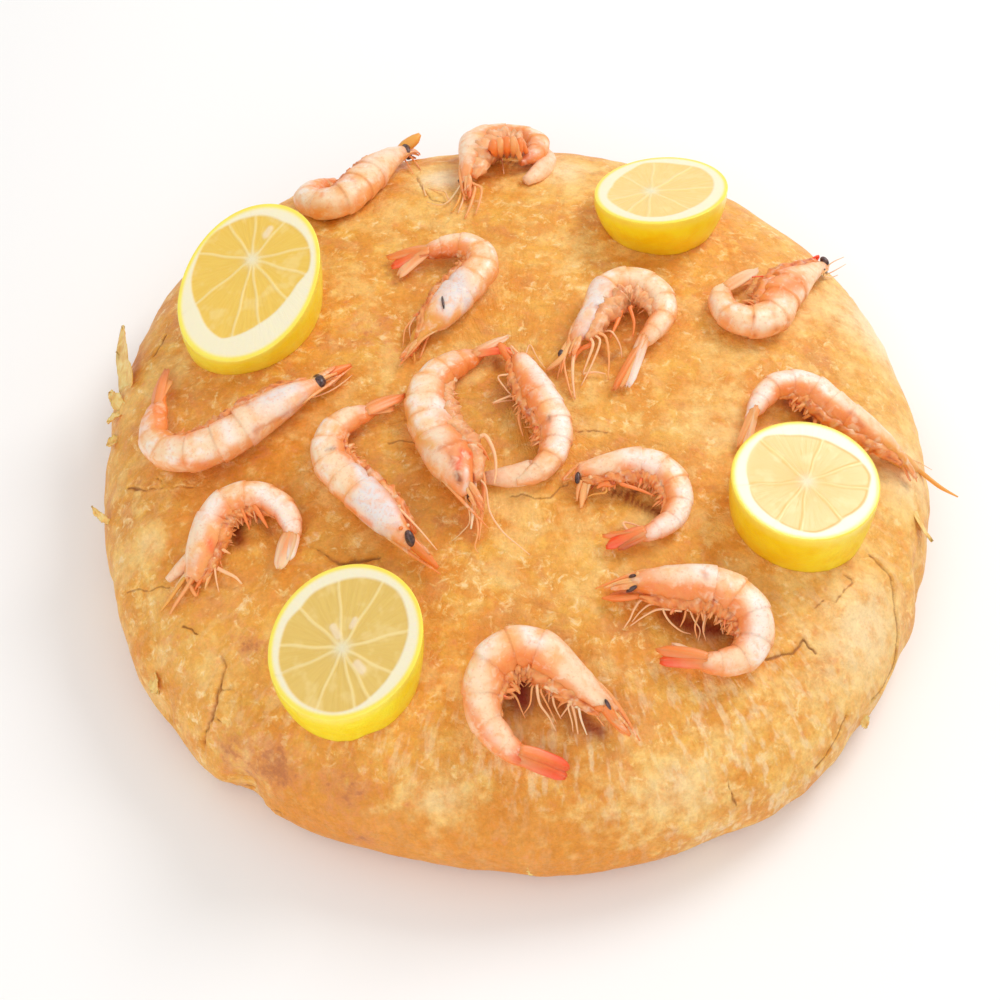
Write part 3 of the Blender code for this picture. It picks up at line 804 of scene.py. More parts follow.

# One shrimp after the other. Places with two numbers are points of the picture.
# pose: where the head shell ends (x, y in mm), where the head points, side that the tail curls to,
#   size, bend of front, middle and tail, lift of head and tail, snout in mm, plumpness
# sink: how much lower it lies than its solid, in mm; grey and red: how grey the head and how red
#   the tail is
# slim: share of the girth at the eye and in the middle of the head; flesh: thickness of the soft
#   inner edge; eyes and dark marks: both ends and width
# fan: tip, width and tone of each blade; limbs: tone, width, lift at both ends in mm, points
# juice and shade marks on the crust, dark red juices and painted shade in the hollows: share, half width,
# points; tones: tone, share, half width, points
shrimp1 = {
    "pose": (-57, 115, 62, -1, 1.05, 4, 170, 34, 1, 0, 9, 0.88),
    "sink": 2,
    "grey": 0.3,
    "red": 0.2,
    "slim": (0.8, 0.8),
    "eyes": (((404, 144), (408, 153), 10),),
    "fan": (((336, 190), 9, "salmon"),),
    "limbs": (
        ("amber", 14, 6, 5, ((398, 151), (407, 145), (414, 140), (420, 134))),
        ("strand", 2, 5, 1, ((409, 155), (416, 163), (421, 170))),
        ("strand", 2, 5, 1, ((405, 160), (410, 168), (413, 174))),
    ),
    "tones": (
        ("rust", 0.6, 2.5, ((343, 168), (360, 157), (378, 147), (400, 142))),
        ("pale", 0.8, 10, ((370, 170), (388, 158))), ("rust", 0.8, 3, ((345, 169), (337, 180))),
        ("orange", 0.8, 2.5, ((330, 180), (322, 195), (316, 215))),
        ("orange", 0.7, 2.5, ((352, 178), (358, 190), (356, 205))),
        ("pale", 0.8, 7, ((352, 192), (348, 200))), ("pale", 0.8, 7, ((336, 205), (336, 213))),
        ("pale", 0.7, 5, ((309, 194), (308, 204))),
    ),
}
shrimp2 = {
    "pose": (-15, 137, -95, -1, 0.97, 60, 124, 62, 1, 1, 12, 0.82),
    "flesh": 1.7,
    "grey": 0.2,
    "red": 0.5,
    "slim": (0.9, 0.88),
    "eyes": (((458, 180), (465, 185), 5),),
    "fan": (),
    "limbs": (
        ("whisker", 2, 3, 1, ((450, 199), (445, 192), (436, 190), (428, 188))),
        ("whisker", 2, 3, 1, ((450, 200), (440, 205), (427, 202))),
        ("whisker", 2, 1, 1, ((426, 196), (424, 190), (423, 184))),
        ("leg", 3, 6, 1, ((468, 180), (463, 200), (458, 213))),
        ("amber", 4, 6, 1, ((464, 184), (459, 200), (452, 212))),
        ("strand", 4, 6, 1, ((475, 186), (471, 204), (465, 218))),
        ("strand", 3, 6, 1, ((481, 188), (479, 204), (475, 215))),
        ("skin", 21, 3, 3, ((547, 158), (544, 167), (537, 174), (526, 181))),
        ("orange", 9, 9, 4, ((493, 143), (494, 151), (496, 160))),
        ("strand", 9, 9, 4, ((499, 141), (500, 150), (501, 159))),
        ("orange", 9, 9, 4, ((506, 140), (507, 149), (507, 158))),
        ("strand", 9, 9, 4, ((513, 140), (513, 149), (513, 158))),
        ("orange", 9, 9, 4, ((520, 141), (520, 150), (519, 159))),
        ("leg", 2, 6, 3, ((501, 154), (503, 166), (504, 174))),
    ),
    "juiceAndShadeMarks": (
        (0.55, 4.8, ((500, 160), (513, 163), (526, 166))),
    ),
    "tones": (
        ("pale", 0.9, 8, ((484, 143), (484, 158))), ("orange", 0.7, 8, ((480, 176), (478, 184))),
        ("orange", 0.9, 9, ((498, 150), (510, 145), (524, 150))),
        # The rust patch on the tail, from (508, 160) to (522, 158), is painted shade inside the curl
        ("orange", 0.6, 5, ((520, 130), (540, 145))), ("rust", 0.9, 9, ((508, 160), (522, 158))),
    ),
}
shrimp3 = {
    "pose": (-20.5, 42.8, -126, 1, 0.93, 3, 136, -10, 0, 0, 12, 0.90),
    "grey": 0.8,
    "red": 0.5,
    "slim": (0.25, 0.98),
    "eyes": (),
    "marks": (((442, 296), (444, 309), 3),),
    "fan": (((388, 258), 12, "orange"), ((392, 267), 12, "red"), ((399, 276), 12, "leg")),
    "limbs": (
        ("amber", 4, 5, 1, ((438, 312), (425, 322), (415, 336), (405, 350))),
        ("strand", 3, 4, 1, ((424, 308), (412, 320), (405, 330), (403, 345))),
        ("amber", 4, 4, 1, ((430, 318), (413, 335), (415, 362))),
        ("strand", 4, 4, 1, ((440, 318), (430, 332), (420, 358))),
        ("orange", 9, 4, 1, ((434, 314), (420, 336), (411, 356))),
        ("amber", 13, 5, 2, ((436, 310), (423, 328), (413, 346))),
        ("leg", 3, 4, 1, ((420, 312), (410, 326), (411, 341))),
    ),
    "juiceAndShadeMarks": ((0.7, 4, ((430, 322), (440, 324), (450, 320))),),
    "tones": (
        ("orange", 0.8, 5, ((428, 290), (420, 310), (412, 330))),
        ("orange", 0.9, 10, ((434, 322), (410, 346))),
        ("pale", 0.9, 5, ((420, 242), (450, 237), (490, 242))),
        ("orange", 0.95, 7, ((424, 252), (440, 254), (456, 252))),
        ("rust", 0.8, 5, ((426, 266), (440, 270), (456, 266))),
        ("grey", 0.95, 11, ((438, 290), (455, 275), (462, 290))),
        ("amber", 0.95, 8, ((426, 316), (440, 324), (420, 340))),
        ("salmon", 0.6, 4, ((470, 268), (480, 285))),
    ),
}
shrimp4 = {
    "pose": (35, 45.5, -114, -1, 0.94, 82, 112, -8, 1, 0, 18, 0.80),
    "grey": 0.6,
    "red": 0.4,
    "slim": (1.15, 0.82),
    "flesh": 1.6,
    "eyes": (((562, 350), (560, 357), 7),),
    "fan": (((628, 387), 10, "white"), ((614, 389), 7, "orange"), ((620, 388), 5, "salmon")),
    "limbs": (
        ("salmon", 8, 6, 4, ((573, 338), (565, 350), (560, 360))),
        ("salmon", 6, 5, 2, ((562, 358), (554, 365), (546, 371))),
        ("strand", 3, 5, 1, ((563, 358), (560, 368), (557, 379))),
        ("leg", 4, 7, 1, ((577, 338), (573, 362), (573, 382), (575, 399))),
        ("strand", 3, 6, 1, ((568, 346), (564, 362), (568, 384), (572, 397))),
        ("leg", 3, 8, 2, ((593, 345), (588, 360), (583, 373))),
        ("leg", 2.5, 2, 2, ((583, 374), (595, 372), (606, 374))),
        ("strand", 3, 8, 1, ((606, 338), (609, 358), (608, 380))),
        ("orange", 5, 8, 6, ((624, 298), (619, 318), (610, 338))),
        ("orange", 4, 8, 4, ((630, 308), (634, 322), (633, 336))),
        ("leg", 2.5, 8, 1, ((600, 342), (592, 364), (581, 386))),
        ("orange", 5, 6, 3, ((590, 345), (580, 350), (572, 362))),
        ("leg", 2, 7, 1, ((612, 332), (620, 345), (622, 358))),
    ),
    "juiceAndShadeMarks": (
        (0.55, 4, ((600, 350), (606, 362), (618, 352))),
    ),
    "tones": (
        ("grey", 0.95, 9, ((602, 302), (597, 322), (588, 333))),
        ("strand", 0.8, 6, ((600, 335), (612, 318), (628, 312), (640, 325))),
        ("pale", 0.9, 8, ((630, 276), (650, 285), (661, 300))), ("pale", 0.8, 8, ((662, 320), (652, 345))),
        ("orange", 0.4, 4, ((640, 306), (645, 320), (640, 335))), ("rust", 0.7, 2, ((597, 306), (598, 309))),
        ("salmon", 0.7, 2.5, ((622, 272), (626, 295))),
    ),
}
shrimp5 = {
    "pose": (102.3, 52.5, 52, -1, 1.02, -22, 152, 72, 1, 0, 5, 0.90),
    "grey": 0.0,
    "red": 0.0,
    "slim": (0.55, 0.62),
    "eyes": (((821, 257), (828, 266), 9), ((824, 269), (827, 273), 4)),
    "fan": (((757, 270), 11, "pale"), ((752, 281), 8, "salmon")),
    "limbs": (
        ("whisker", 1.6, 8, 8, ((826, 268), (833, 262), (844, 257))),
        ("whisker", 1.6, 7, 6, ((826, 274), (834, 271), (846, 264))),
        ("whisker", 1.6, 6, 5, ((824, 276), (832, 277), (838, 275))),
        ("red", 3, 11, 10, ((818, 256), (805, 263), (792, 269), (778, 273), (765, 276), (752, 277))),
        ("orange", 10, 8, 8, ((812, 266), (797, 277), (782, 284), (766, 290))),
        ("salmon", 6, 9, 9, ((820, 272), (806, 289), (795, 303))),
        ("amber", 7, 7, 7, ((795, 290), (782, 296), (770, 297))),
    ),
    "tones": (
        ("orange", 0.95, 12, ((800, 280), (785, 288), (768, 290))),
        ("pale", 0.9, 6, ((781, 308), (781, 320))), ("pale", 0.9, 6, ((763, 318), (764, 330))),
        ("pale", 0.9, 6, ((742, 318), (741, 330))), ("pale", 0.9, 6, ((718, 302), (716, 316))),
        ("rust", 0.75, 2, ((754, 316), (755, 336))), ("rust", 0.6, 2, ((773, 312), (776, 330))),
        ("orange", 0.8, 2.5, ((728, 316), (726, 332))), ("pale", 0.8, 6, ((716, 290), (730, 276))),
    ),
}
shrimp6 = {
    "pose": (-95, -17, 40, -1, 1.12, 26, 102, 9, 0, 0, 15, 0.82),
    "grey": 0.4,
    "red": 0.9,
    "eyes": (((317, 377), (321, 386), 15),),
    "fan": (((167, 370), 11, "orange"), ((171, 381), 10, "salmon")),
    "limbs": (
        ("orange", 13, 5, 3, ((318, 381), (334, 372), (351, 365))),
        ("leg", 2, 3, 1, ((310, 398), (330, 391), (345, 381), (352, 375))),
        ("leg", 2, 4, 1, ((322, 388), (333, 384), (343, 374))),
        ("strand", 3, 4, 3, ((290, 410), (303, 402), (316, 393))),
    ),
    "tones": (
        ("pale", 0.9, 8, ((243, 412), (243, 430))), ("grey", 0.8, 9, ((268, 398), (292, 388))),
        ("pale", 0.8, 7, ((208, 432), (212, 448))), ("pale", 0.7, 6, ((173, 440), (180, 452))),
        ("orange", 0.8, 4, ((182, 462), (206, 465))),
        ("orange", 0.8, 5, ((166, 385), (160, 400), (156, 412))),
        # The rust line from (248, 403) to (256, 432) is painted shade under the back edge of the head shell
        ("orange", 0.9, 3, ((190, 430), (198, 468))), ("rust", 0.5, 2.5, ((248, 403), (256, 432))),
        ("white", 0.9, 7, ((226, 424), (230, 438))),
        ("rust", 0.5, 2.5, ((256, 430), (280, 418), (305, 402))),
    ),
}
shrimp7 = {
    "pose": (-52.5, -46, -47, -1, 0.94, 2, 92, 26, 0, 0, 17, 0.88),
    "grey": 0.9,
    "red": 0.5,
    "slim": (1.1, 1.12),
    "eyes": (((407, 530), (413, 547), 10),),
    "fan": (((404, 396), 12, "orange"), ((394, 408), 11, "salmon")),
    "limbs": (
        ("leg", 3, 10, 5, ((399, 508), (418, 528), (437, 550))),
        ("orange", 12, 6, 3, ((410, 540), (424, 554), (438, 568))),
        ("leg", 5, 8, 4, ((404, 528), (420, 546), (434, 562))),
        ("orange", 4, 8, 4, ((400, 530), (396, 540), (408, 550))),
    ),
    "tones": (
        ("grey", 1.0, 10, ((358, 468), (376, 490), (386, 506))), ("grey", 0.8, 8, ((368, 498), (382, 515))),
        ("pale", 0.9, 9, ((335, 462), (345, 478))), ("pale", 0.9, 7, ((352, 408), (342, 420))),
        ("pale", 0.7, 7, ((330, 440), (326, 452))),
        ("orange", 0.8, 4, ((318, 478), (330, 494), (350, 508), (370, 524))),
        ("dark", 0.8, 2.2, ((329, 449), (334, 448))), ("rust", 0.7, 3, ((375, 417), (392, 410), (402, 402))),
        ("salmon", 0.6, 3, ((352, 468), (350, 500))),
    ),
}
shrimp8 = {
    "pose": (-27, -22, -64, -1, 0.97, 14, 68, -4, 8, 0, 17, 0.98),
    "grey": 0.2,
    "red": 0.5,
    "slim": (1.3, 1.3),
    "flesh": 1.6,
    "eyes": (((468, 494), (471, 502), 5),),
    "fan": (((508, 337), 8, "pale"), ((512, 350), 9, "red")),
    "limbs": (
        ("pale", 5, 8, 3, ((471, 462), (474, 482), (474, 503), (471, 529))),
        ("strand", 5, 8, 2, ((480, 462), (484, 485), (482, 512), (479, 540))),
        ("leg", 2, 8, 1, ((486, 488), (490, 512), (503, 532), (518, 545), (530, 555))),
        ("leg", 4, 9, 6, ((486, 436), (494, 452), (496, 470), (494, 484))),
        ("strand", 2, 4, 1, ((476, 515), (478, 532), (475, 546), (478, 553))),
        ("orange", 4, 9, 8, ((463, 448), (468, 462), (466, 480))),
        ("red", 4, 9, 8, ((474, 448), (478, 458), (485, 466))),
        ("strand", 3, 8, 3, ((466, 466), (469, 485), (465, 500))),
        ("whisker", 1.4, 3, 1, ((470, 520), (462, 532), (452, 541))),
        ("orange", 5, 12, 9, ((470, 444), (481, 448), (489, 460))),
    ),
    "tones": (
        ("dark", 1.0, 3, ((457, 473), (460, 481))), ("rust", 0.7, 3, ((440, 448), (452, 444), (462, 440))),
        ("white", 0.95, 11, ((438, 404), (455, 416))),
        ("amber", 0.85, 5, ((403, 405), (408, 422), (420, 438), (432, 446))),
        ("pale", 0.8, 9, ((432, 380), (420, 392))),
        ("orange", 0.85, 8, ((468, 366), (484, 356), (490, 362))),
        ("orange", 0.7, 8, ((456, 440), (470, 452))), ("red", 0.8, 4, ((471, 447), (470, 455))),
        ("rust", 0.8, 3, ((450, 452), (453, 464))),
        ("orange", 0.75, 7, ((448, 448), (466, 462), (470, 484))), ("red", 0.7, 3, ((462, 450), (458, 468))),
        ("red", 0.6, 2.5, ((476, 452), (480, 470))), ("white", 0.7, 2.5, ((466, 470), (466, 490))),
        ("grey", 0.6, 5, ((474, 422), (476, 430))), ("rust", 0.7, 3, ((462, 390), (464, 394))),
    ),
}
shrimp9 = {
    "pose": (9, -5, 113, -1, 0.81, -2, 67, 48, 0, 0, 2, 0.95),
    "grey": 0.3,
    "red": 0.2,
    "slim": (1.05, 0.95),
    "eyes": (),
    "fan": (),
    "limbs": (
        ("skin", 25, 2, 2, ((532, 471), (519, 475), (505, 477), (484, 478))),
        ("leg", 2, 7, 1, ((498, 377), (506, 389), (516, 400), (524, 410))),
        ("leg", 2, 4, 1, ((493, 403), (504, 401), (516, 400))),
        ("orange", 8, 5, 4, ((500, 346), (508, 358), (516, 372))),
        ("orange", 4, 6, 3, ((512, 366), (518, 384), (523, 400))),
        ("strand", 3, 5, 2, ((520, 405), (519, 420), (523, 436))),
        ("leg", 2.5, 8, 6, ((511, 346), (520, 354), (534, 358))),
        ("leg", 1.6, 8, 8, ((530, 345), (537, 357), (545, 368))),
    ),
    "juiceAndShadeMarks": (
        (0.55, 4.8, ((495, 358), (498, 368))),
    ),
    "tones": (
        ("white", 0.95, 8, ((530, 358), (545, 380), (560, 400))),
        ("white", 0.9, 8, ((562, 420), (562, 445))),
        ("orange", 0.95, 9, ((522, 378), (530, 392), (530, 412))),
        ("salmon", 0.8, 6, ((528, 425), (524, 440), (505, 455))), ("dark", 0.6, 2, ((549, 416), (549, 421))),
        ("grey", 0.6, 3, ((536, 426), (540, 430))), ("pale", 0.9, 9, ((540, 466), (518, 474))),
    ),
}
shrimp10 = {
    "pose": (44, -33, -169, -1, 0.85, 62, 94, 23, 0, 0, 1, 0.80),
    "grey": 0.1,
    "red": 0.8,
    "slim": (1.1, 1.0),
    "eyes": (((578, 472), (577, 484), 6),),
    "fan": (((606, 547), 11, "red"), ((618, 549), 9, "rust"), ((603, 536), 7, "orange")),
    "limbs": (
        ("salmon", 7, 5, 1, ((587, 478), (584, 490), (581, 508))),
        ("leg", 4, 6, 1, ((591, 478), (588, 489), (585, 500))),
        ("strand", 4, 5, 1, ((581, 480), (578, 490), (577, 501))),
        ("rust", 2.5, 7, 2, ((613, 484), (605, 479), (597, 482), (591, 489))),
        ("orange", 6, 6, 5, ((612, 484), (603, 484), (597, 488))),
        ("amber", 2.5, 3, 1, ((606, 492), (594, 494), (585, 498))),
        ("orange", 4, 6, 4, ((622, 484), (640, 490), (655, 496))),
        ("leg", 2.5, 2, 2, ((623, 523), (636, 525), (650, 532))),
        ("leg", 2, 2, 1, ((626, 533), (638, 530), (648, 536))),
    ),
    "juiceAndShadeMarks": (
        (0.9, 3.2, ((613, 493), (625, 494), (636, 492))),
        (0.9, 4, ((626, 499), (640, 504), (650, 508), (660, 513))),
    ),
    "tones": (
        ("white", 0.9, 8, ((628, 454), (655, 466))), ("white", 0.9, 9, ((690, 490), (688, 510), (675, 522))),
        ("white", 0.8, 7, ((662, 525), (655, 533))),
        ("orange", 0.9, 9, ((625, 484), (645, 488), (660, 498))),
        ("salmon", 0.8, 8, ((630, 540), (615, 538))), ("pale", 0.7, 6, ((612, 465), (598, 472))),
    ),
}
shrimp11 = {
    "pose": (118.5, -7, -27, 1, 0.88, -20, 102, 7, 0, 0, 9, 0.88),
    "grey": 0.0,
    "red": 0.3,
    "slim": (0.75, 0.85),
    "eyes": (),
    "fan": (((738, 447), 8, "salmon"), ((745, 452), 7, "pale")),
    "limbs": (
        ("amber", 5, 3, 1, ((905, 460), (922, 473), (940, 487), (958, 497))),
        ("amber", 16, 4, 2, ((890, 452), (903, 461), (918, 470))),
        ("leg", 4, 8, 5, ((846, 404), (868, 424), (893, 446))),
        ("leg", 2.5, 6, 6, ((790, 395), (799, 398), (801, 406), (794, 412))),
        ("orange", 4, 7, 6, ((833, 402), (850, 424), (868, 442))),
        ("strand", 3, 4, 2, ((860, 440), (876, 452), (890, 462))),
        ("whisker", 1.4, 4, 1, ((905, 458), (918, 462), (932, 470))),
    ),
    "juiceAndShadeMarks": (
        (0.9, 5.6, ((803, 411), (811, 422), (820, 428))), (0.55, 4.8, ((785, 402), (796, 406))),
    ),
    "tones": (
        # The white and pale tones along the top and the outer edge are partly painted light on the flank that
        # faces away from the lamps, partly paler shell
        ("white", 0.9, 8, ((752, 412), (764, 394))), ("white", 0.9, 8, ((780, 377), (808, 374))),
        ("white", 0.8, 7, ((818, 380), (834, 392), (848, 404))),
        ("pale", 0.8, 7, ((840, 392), (858, 408), (876, 426))), ("amber", 0.8, 9, ((886, 448), (904, 462))),
        ("orange", 0.9, 8, ((784, 390), (800, 388))),
        ("orange", 0.7, 7, ((838, 410), (856, 428), (876, 448))), ("rust", 0.5, 3, ((850, 412), (862, 426))),
    ),
}
shrimp12 = {
    "pose": (-103, -50, -100, -1, 0.82, 64, 80, 52, 1, 0, 0, 0.88),
    "grey": 0.3,
    "red": 0.2,
    "slim": (1.2, 1.2),
    "eyes": (),
    # The fan's pale and white tones are partly painted light on blades that face away from the lamps
    "fan": (((279, 569), 13, "pale"), ((288, 560), 12, "white")),
    "limbs": (
        ("skin", 14, 5, 3, ((199, 551), (190, 559), (180, 569), (168, 580))),
        ("leg", 6, 6, 3, ((202, 560), (194, 568), (184, 577), (175, 588))),
        ("amber", 5, 5, 1, ((198, 558), (181, 583), (169, 600), (161, 611))),
        ("strand", 5, 5, 1, ((203, 560), (189, 584), (177, 602), (170, 614))),
        ("orange", 6, 5, 2, ((204, 563), (194, 578), (183, 594))),
        ("orange", 5, 5, 2, ((209, 566), (201, 580), (194, 591))),
        ("salmon", 5, 5, 2, ((213, 566), (209, 577), (205, 589))),
        ("rust", 3, 5, 2, ((203, 564), (196, 573), (187, 583))),
        ("leg", 4, 4, 1, ((211, 565), (225, 572), (235, 577), (242, 584))),
        ("strand", 4, 6, 2, ((226, 535), (220, 556), (222, 568))),
        ("orange", 4, 7, 3, ((240, 505), (246, 520), (250, 530))),
        ("orange", 4, 7, 3, ((254, 505), (262, 518), (268, 528))),
        ("leg", 2.5, 6, 1, ((214, 560), (216, 578), (219, 592))),
    ),
    "juiceAndShadeMarks": (
        (0.9, 7.2, ((237, 521), (237, 531), (239, 540))), (0.55, 4.8, ((263, 524), (270, 532))),
        (0.55, 3.2, ((212, 570), (200, 576), (190, 584))),
    ),
    "tones": (
        ("white", 0.95, 9, ((212, 503), (208, 514))), ("white", 0.95, 7, ((262, 492), (280, 508))),
        ("white", 0.95, 8, ((282, 516), (290, 524))), ("pale", 0.9, 4, ((197, 510), (192, 535), (188, 552))),
        ("orange", 0.85, 9, ((232, 515), (226, 540), (218, 562))),
        ("salmon", 0.7, 8, ((215, 530), (208, 560), (200, 578))),
        ("orange", 0.8, 6, ((240, 512), (258, 518), (272, 522))), ("red", 0.6, 4, ((210, 542), (212, 550))),
        ("dark", 0.6, 2, ((231, 545), (226, 556))), ("salmon", 0.8, 2.5, ((233, 486), (232, 512))),
    ),
}
shrimp13 = {
    "pose": (66, -81, -179, -1, 0.92, 49, 119, 30, 0, 0, 15, 0.93),
    "grey": 0.2,
    "red": 0.8,
    "slim": (1.35, 1.12),
    "eyes": (((629, 577), (636, 575), 4), ((626, 592), (637, 586), 5)),
    "fan": (((657, 650), 11, "orange"), ((660, 661), 11, "red"), ((672, 645), 9, "pale")),
    "limbs": (
        (
            "leg", 3, 8, 1,
            ((711, 600), (690, 602), (660, 600), (643, 599), (635, 608), (630, 619), (624, 628)),
        ),
        ("leg", 2.5, 7, 1, ((690, 606), (668, 607), (652, 604), (641, 611), (632, 622))),
        ("leg", 2.5, 7, 1, ((682, 611), (660, 609), (646, 615), (630, 626))),
        ("leg", 2, 5, 1, ((664, 612), (670, 622), (681, 631), (691, 634))),
        ("strand", 2, 6, 2, ((686, 610), (684, 619), (680, 627))),
        ("leg", 2, 7, 1, ((689, 609), (694, 620), (700, 630), (698, 641))),
        ("leg", 2, 6, 1, ((705, 616), (703, 629), (706, 641))),
        ("leg", 3, 8, 1, ((713, 600), (718, 612), (721, 623), (723, 634))),
        ("strand", 2, 6, 2, ((700, 612), (695, 626), (697, 638))),
        ("strand", 2, 6, 2, ((713, 608), (706, 620), (704, 632))),
        ("orange", 7, 5, 2, ((640, 596), (620, 598), (602, 598))),
        ("salmon", 6, 6, 3, ((640, 578), (622, 582), (604, 588))),
        ("rust", 3, 6, 5, ((700, 596), (680, 597), (660, 596), (645, 594))),
        ("orange", 5, 8, 6, ((706, 590), (685, 590), (665, 588), (648, 590))),
    ),
    "juiceAndShadeMarks": (
        (0.9, 6.2, ((665, 614), (674, 615), (683, 612))),
        (1.0, 9, ((672, 616), (686, 624), (702, 628), (718, 630))),
        (0.9, 5.2, ((706, 631), (713, 629), (720, 627))), (0.6, 6.2, ((723, 624), (729, 630), (734, 633))),
    ),
    "tones": (
        ("white", 0.9, 8, ((700, 568), (716, 572))),
        ("white", 0.9, 10, ((758, 600), (762, 620), (756, 645))), ("pale", 0.8, 8, ((738, 655), (712, 660))),
        ("orange", 0.85, 6, ((648, 586), (680, 590), (700, 590))),
        ("orange", 0.8, 5, ((736, 600), (742, 620), (736, 636))),
        ("salmon", 0.7, 2.5, ((720, 570), (728, 598))),
        ("orange", 0.9, 5, ((670, 655), (690, 664), (712, 672))), ("rust", 0.5, 3, ((704, 573), (706, 576))),
    ),
}
shrimp14 = {
    "pose": (8, -105, -40, 1, 1.03, 80, 97, 20, 0, 0, 14, 0.86),
    "grey": 0.1,
    "red": 1.0,
    "slim": (1.0, 0.9),
    "eyes": (((605, 699), (611, 711), 4),),
    "fan": (((569, 768), 13, "red"), ((566, 777), 12, "red"), ((560, 762), 10, "orange")),
    "limbs": (
        ("leg", 2.5, 8, 1, ((537, 688), (540, 704), (549, 717), (556, 731))),
        ("strand", 2, 7, 1, ((541, 692), (548, 706), (557, 724))),
        ("leg", 2.5, 8, 1, ((552, 688), (554, 704), (561, 719))),
        ("leg", 2.5, 9, 3, ((545, 687), (560, 694), (572, 701), (580, 706))),
        ("leg", 2.5, 4, 1, ((572, 702), (565, 711), (560, 718))),
        ("leg", 4, 7, 1, ((571, 702), (575, 716), (578, 734))),
        ("pale", 3, 7, 1, ((578, 704), (581, 719), (587, 735))),
        ("leg", 2, 7, 1, ((568, 706), (572, 722), (573, 732))),
        ("strand", 3, 9, 4, ((550, 681), (565, 690), (582, 701), (600, 716))),
        ("strand", 3, 7, 2, ((577, 700), (592, 711), (604, 726))),
        ("strand", 2, 6, 1, ((508, 690), (516, 697), (521, 709), (525, 718))),
        ("strand", 2, 7, 1, ((532, 688), (530, 704), (523, 715))),
        ("orange", 13, 6, 2, ((602, 704), (615, 720), (630, 735))),
        ("red", 5, 7, 6, ((512, 664), (520, 662), (530, 670))),
        ("orange", 6, 8, 5, ((536, 672), (556, 684), (580, 694), (598, 708))),
    ),
    "juiceAndShadeMarks": (
        (1.0, 14.0, ((520, 668), (519, 684), (522, 700))), (0.9, 7.2, ((508, 686), (514, 692))),
        (0.65, 7.2, ((546, 700), (549, 710))), (0.65, 8.2, ((562, 698), (566, 712), (570, 726))),
        (0.9, 7.2, ((583, 718), (591, 728), (600, 732))),
    ),
    "tones": (
        ("white", 1.0, 5, ((525, 628), (530, 640), (540, 642))), ("white", 0.8, 6, ((480, 645), (483, 655))),
        ("pale", 0.9, 9, ((482, 695), (486, 712))), ("pale", 0.9, 9, ((500, 725), (508, 742))),
        ("pale", 0.8, 7, ((476, 672), (482, 680))), ("salmon", 0.8, 2.5, ((468, 688), (498, 684))),
        ("salmon", 0.8, 2.5, ((478, 718), (505, 712))),
        ("orange", 0.8, 5, ((462, 690), (472, 715), (490, 745), (508, 764))),
        ("orange", 0.95, 9, ((505, 668), (520, 655), (540, 668), (560, 690), (580, 706))),
        ("pale", 0.9, 6, ((565, 668), (585, 686), (600, 702))), ("red", 0.9, 8, ((524, 756), (548, 764))),
        ("white", 0.8, 2.5, ((556, 768), (560, 770))),
    ),
}
shrimps = (shrimp1, shrimp2, shrimp3, shrimp4, shrimp5, shrimp6, shrimp7,
           shrimp8, shrimp9, shrimp10, shrimp11, shrimp12, shrimp13, shrimp14)

shrimpColours = {
    "white": linear((253, 238, 226)),
    "pale": linear((253, 219, 180)),
    "grey": linear((232, 222, 219)),
    "skin": linear((252, 206, 166)),
    "salmon": linear((250, 180, 112)),
    "amber": linear((240, 168, 72)),
    "orange": linear((246, 136, 62)),
    "red": linear((248, 64, 4)),
    "rust": linear((190, 80, 30)),
    "dark": linear((112, 38, 16)),
    "leg": linear((252, 194, 142)),
    "strand": linear((248, 168, 100)),
    "whisker": linear((240, 190, 134)),
    "eye": linear((40, 24, 30)),
}


def bodyLine(pose):
    # The middle line in plan: distance from the eye backwards, x, y and the way it runs
    s = shrimpSettings
    x, y, heading, side, size, front, middle, tail = pose[:8]
    snout = pose[10] * mm
    heading = math.radians(heading)
    bends = [front / 2, front / 2, middle / 3, middle / 3, middle / 3, tail / 2, tail / 2]
    joints = [s["head"] * mm]
    for length in s["rings"]:
        joints.append(joints[-1] + length * mm)
    marks, turns = [0, (s["head"] - 4) * mm], [0, 0]
    for i, bend in enumerate(bends):
        marks.append((joints[i] + joints[i + 1]) / 2)
        turns.append(turns[-1] + bend)
    marks.append(joints[-1])
    turns.append(turns[-1])
    step = 0.5 * mm
    line = {}
    for sign in (1, -1):
        spot = Vector((x * mm, y * mm))
        along = s["head"] * mm
        while -snout - 12 * mm <= along <= joints[-1] + 3 * mm:
            way = heading + math.pi + side * math.radians(np.interp(along, marks, turns))
            line[round(along / step)] = (along, spot.x, spot.y, way)
            spot = spot + Vector((math.cos(way), math.sin(way))) * (sign * step * size)
            along += sign * step
    return [line[key] for key in sorted(line)]


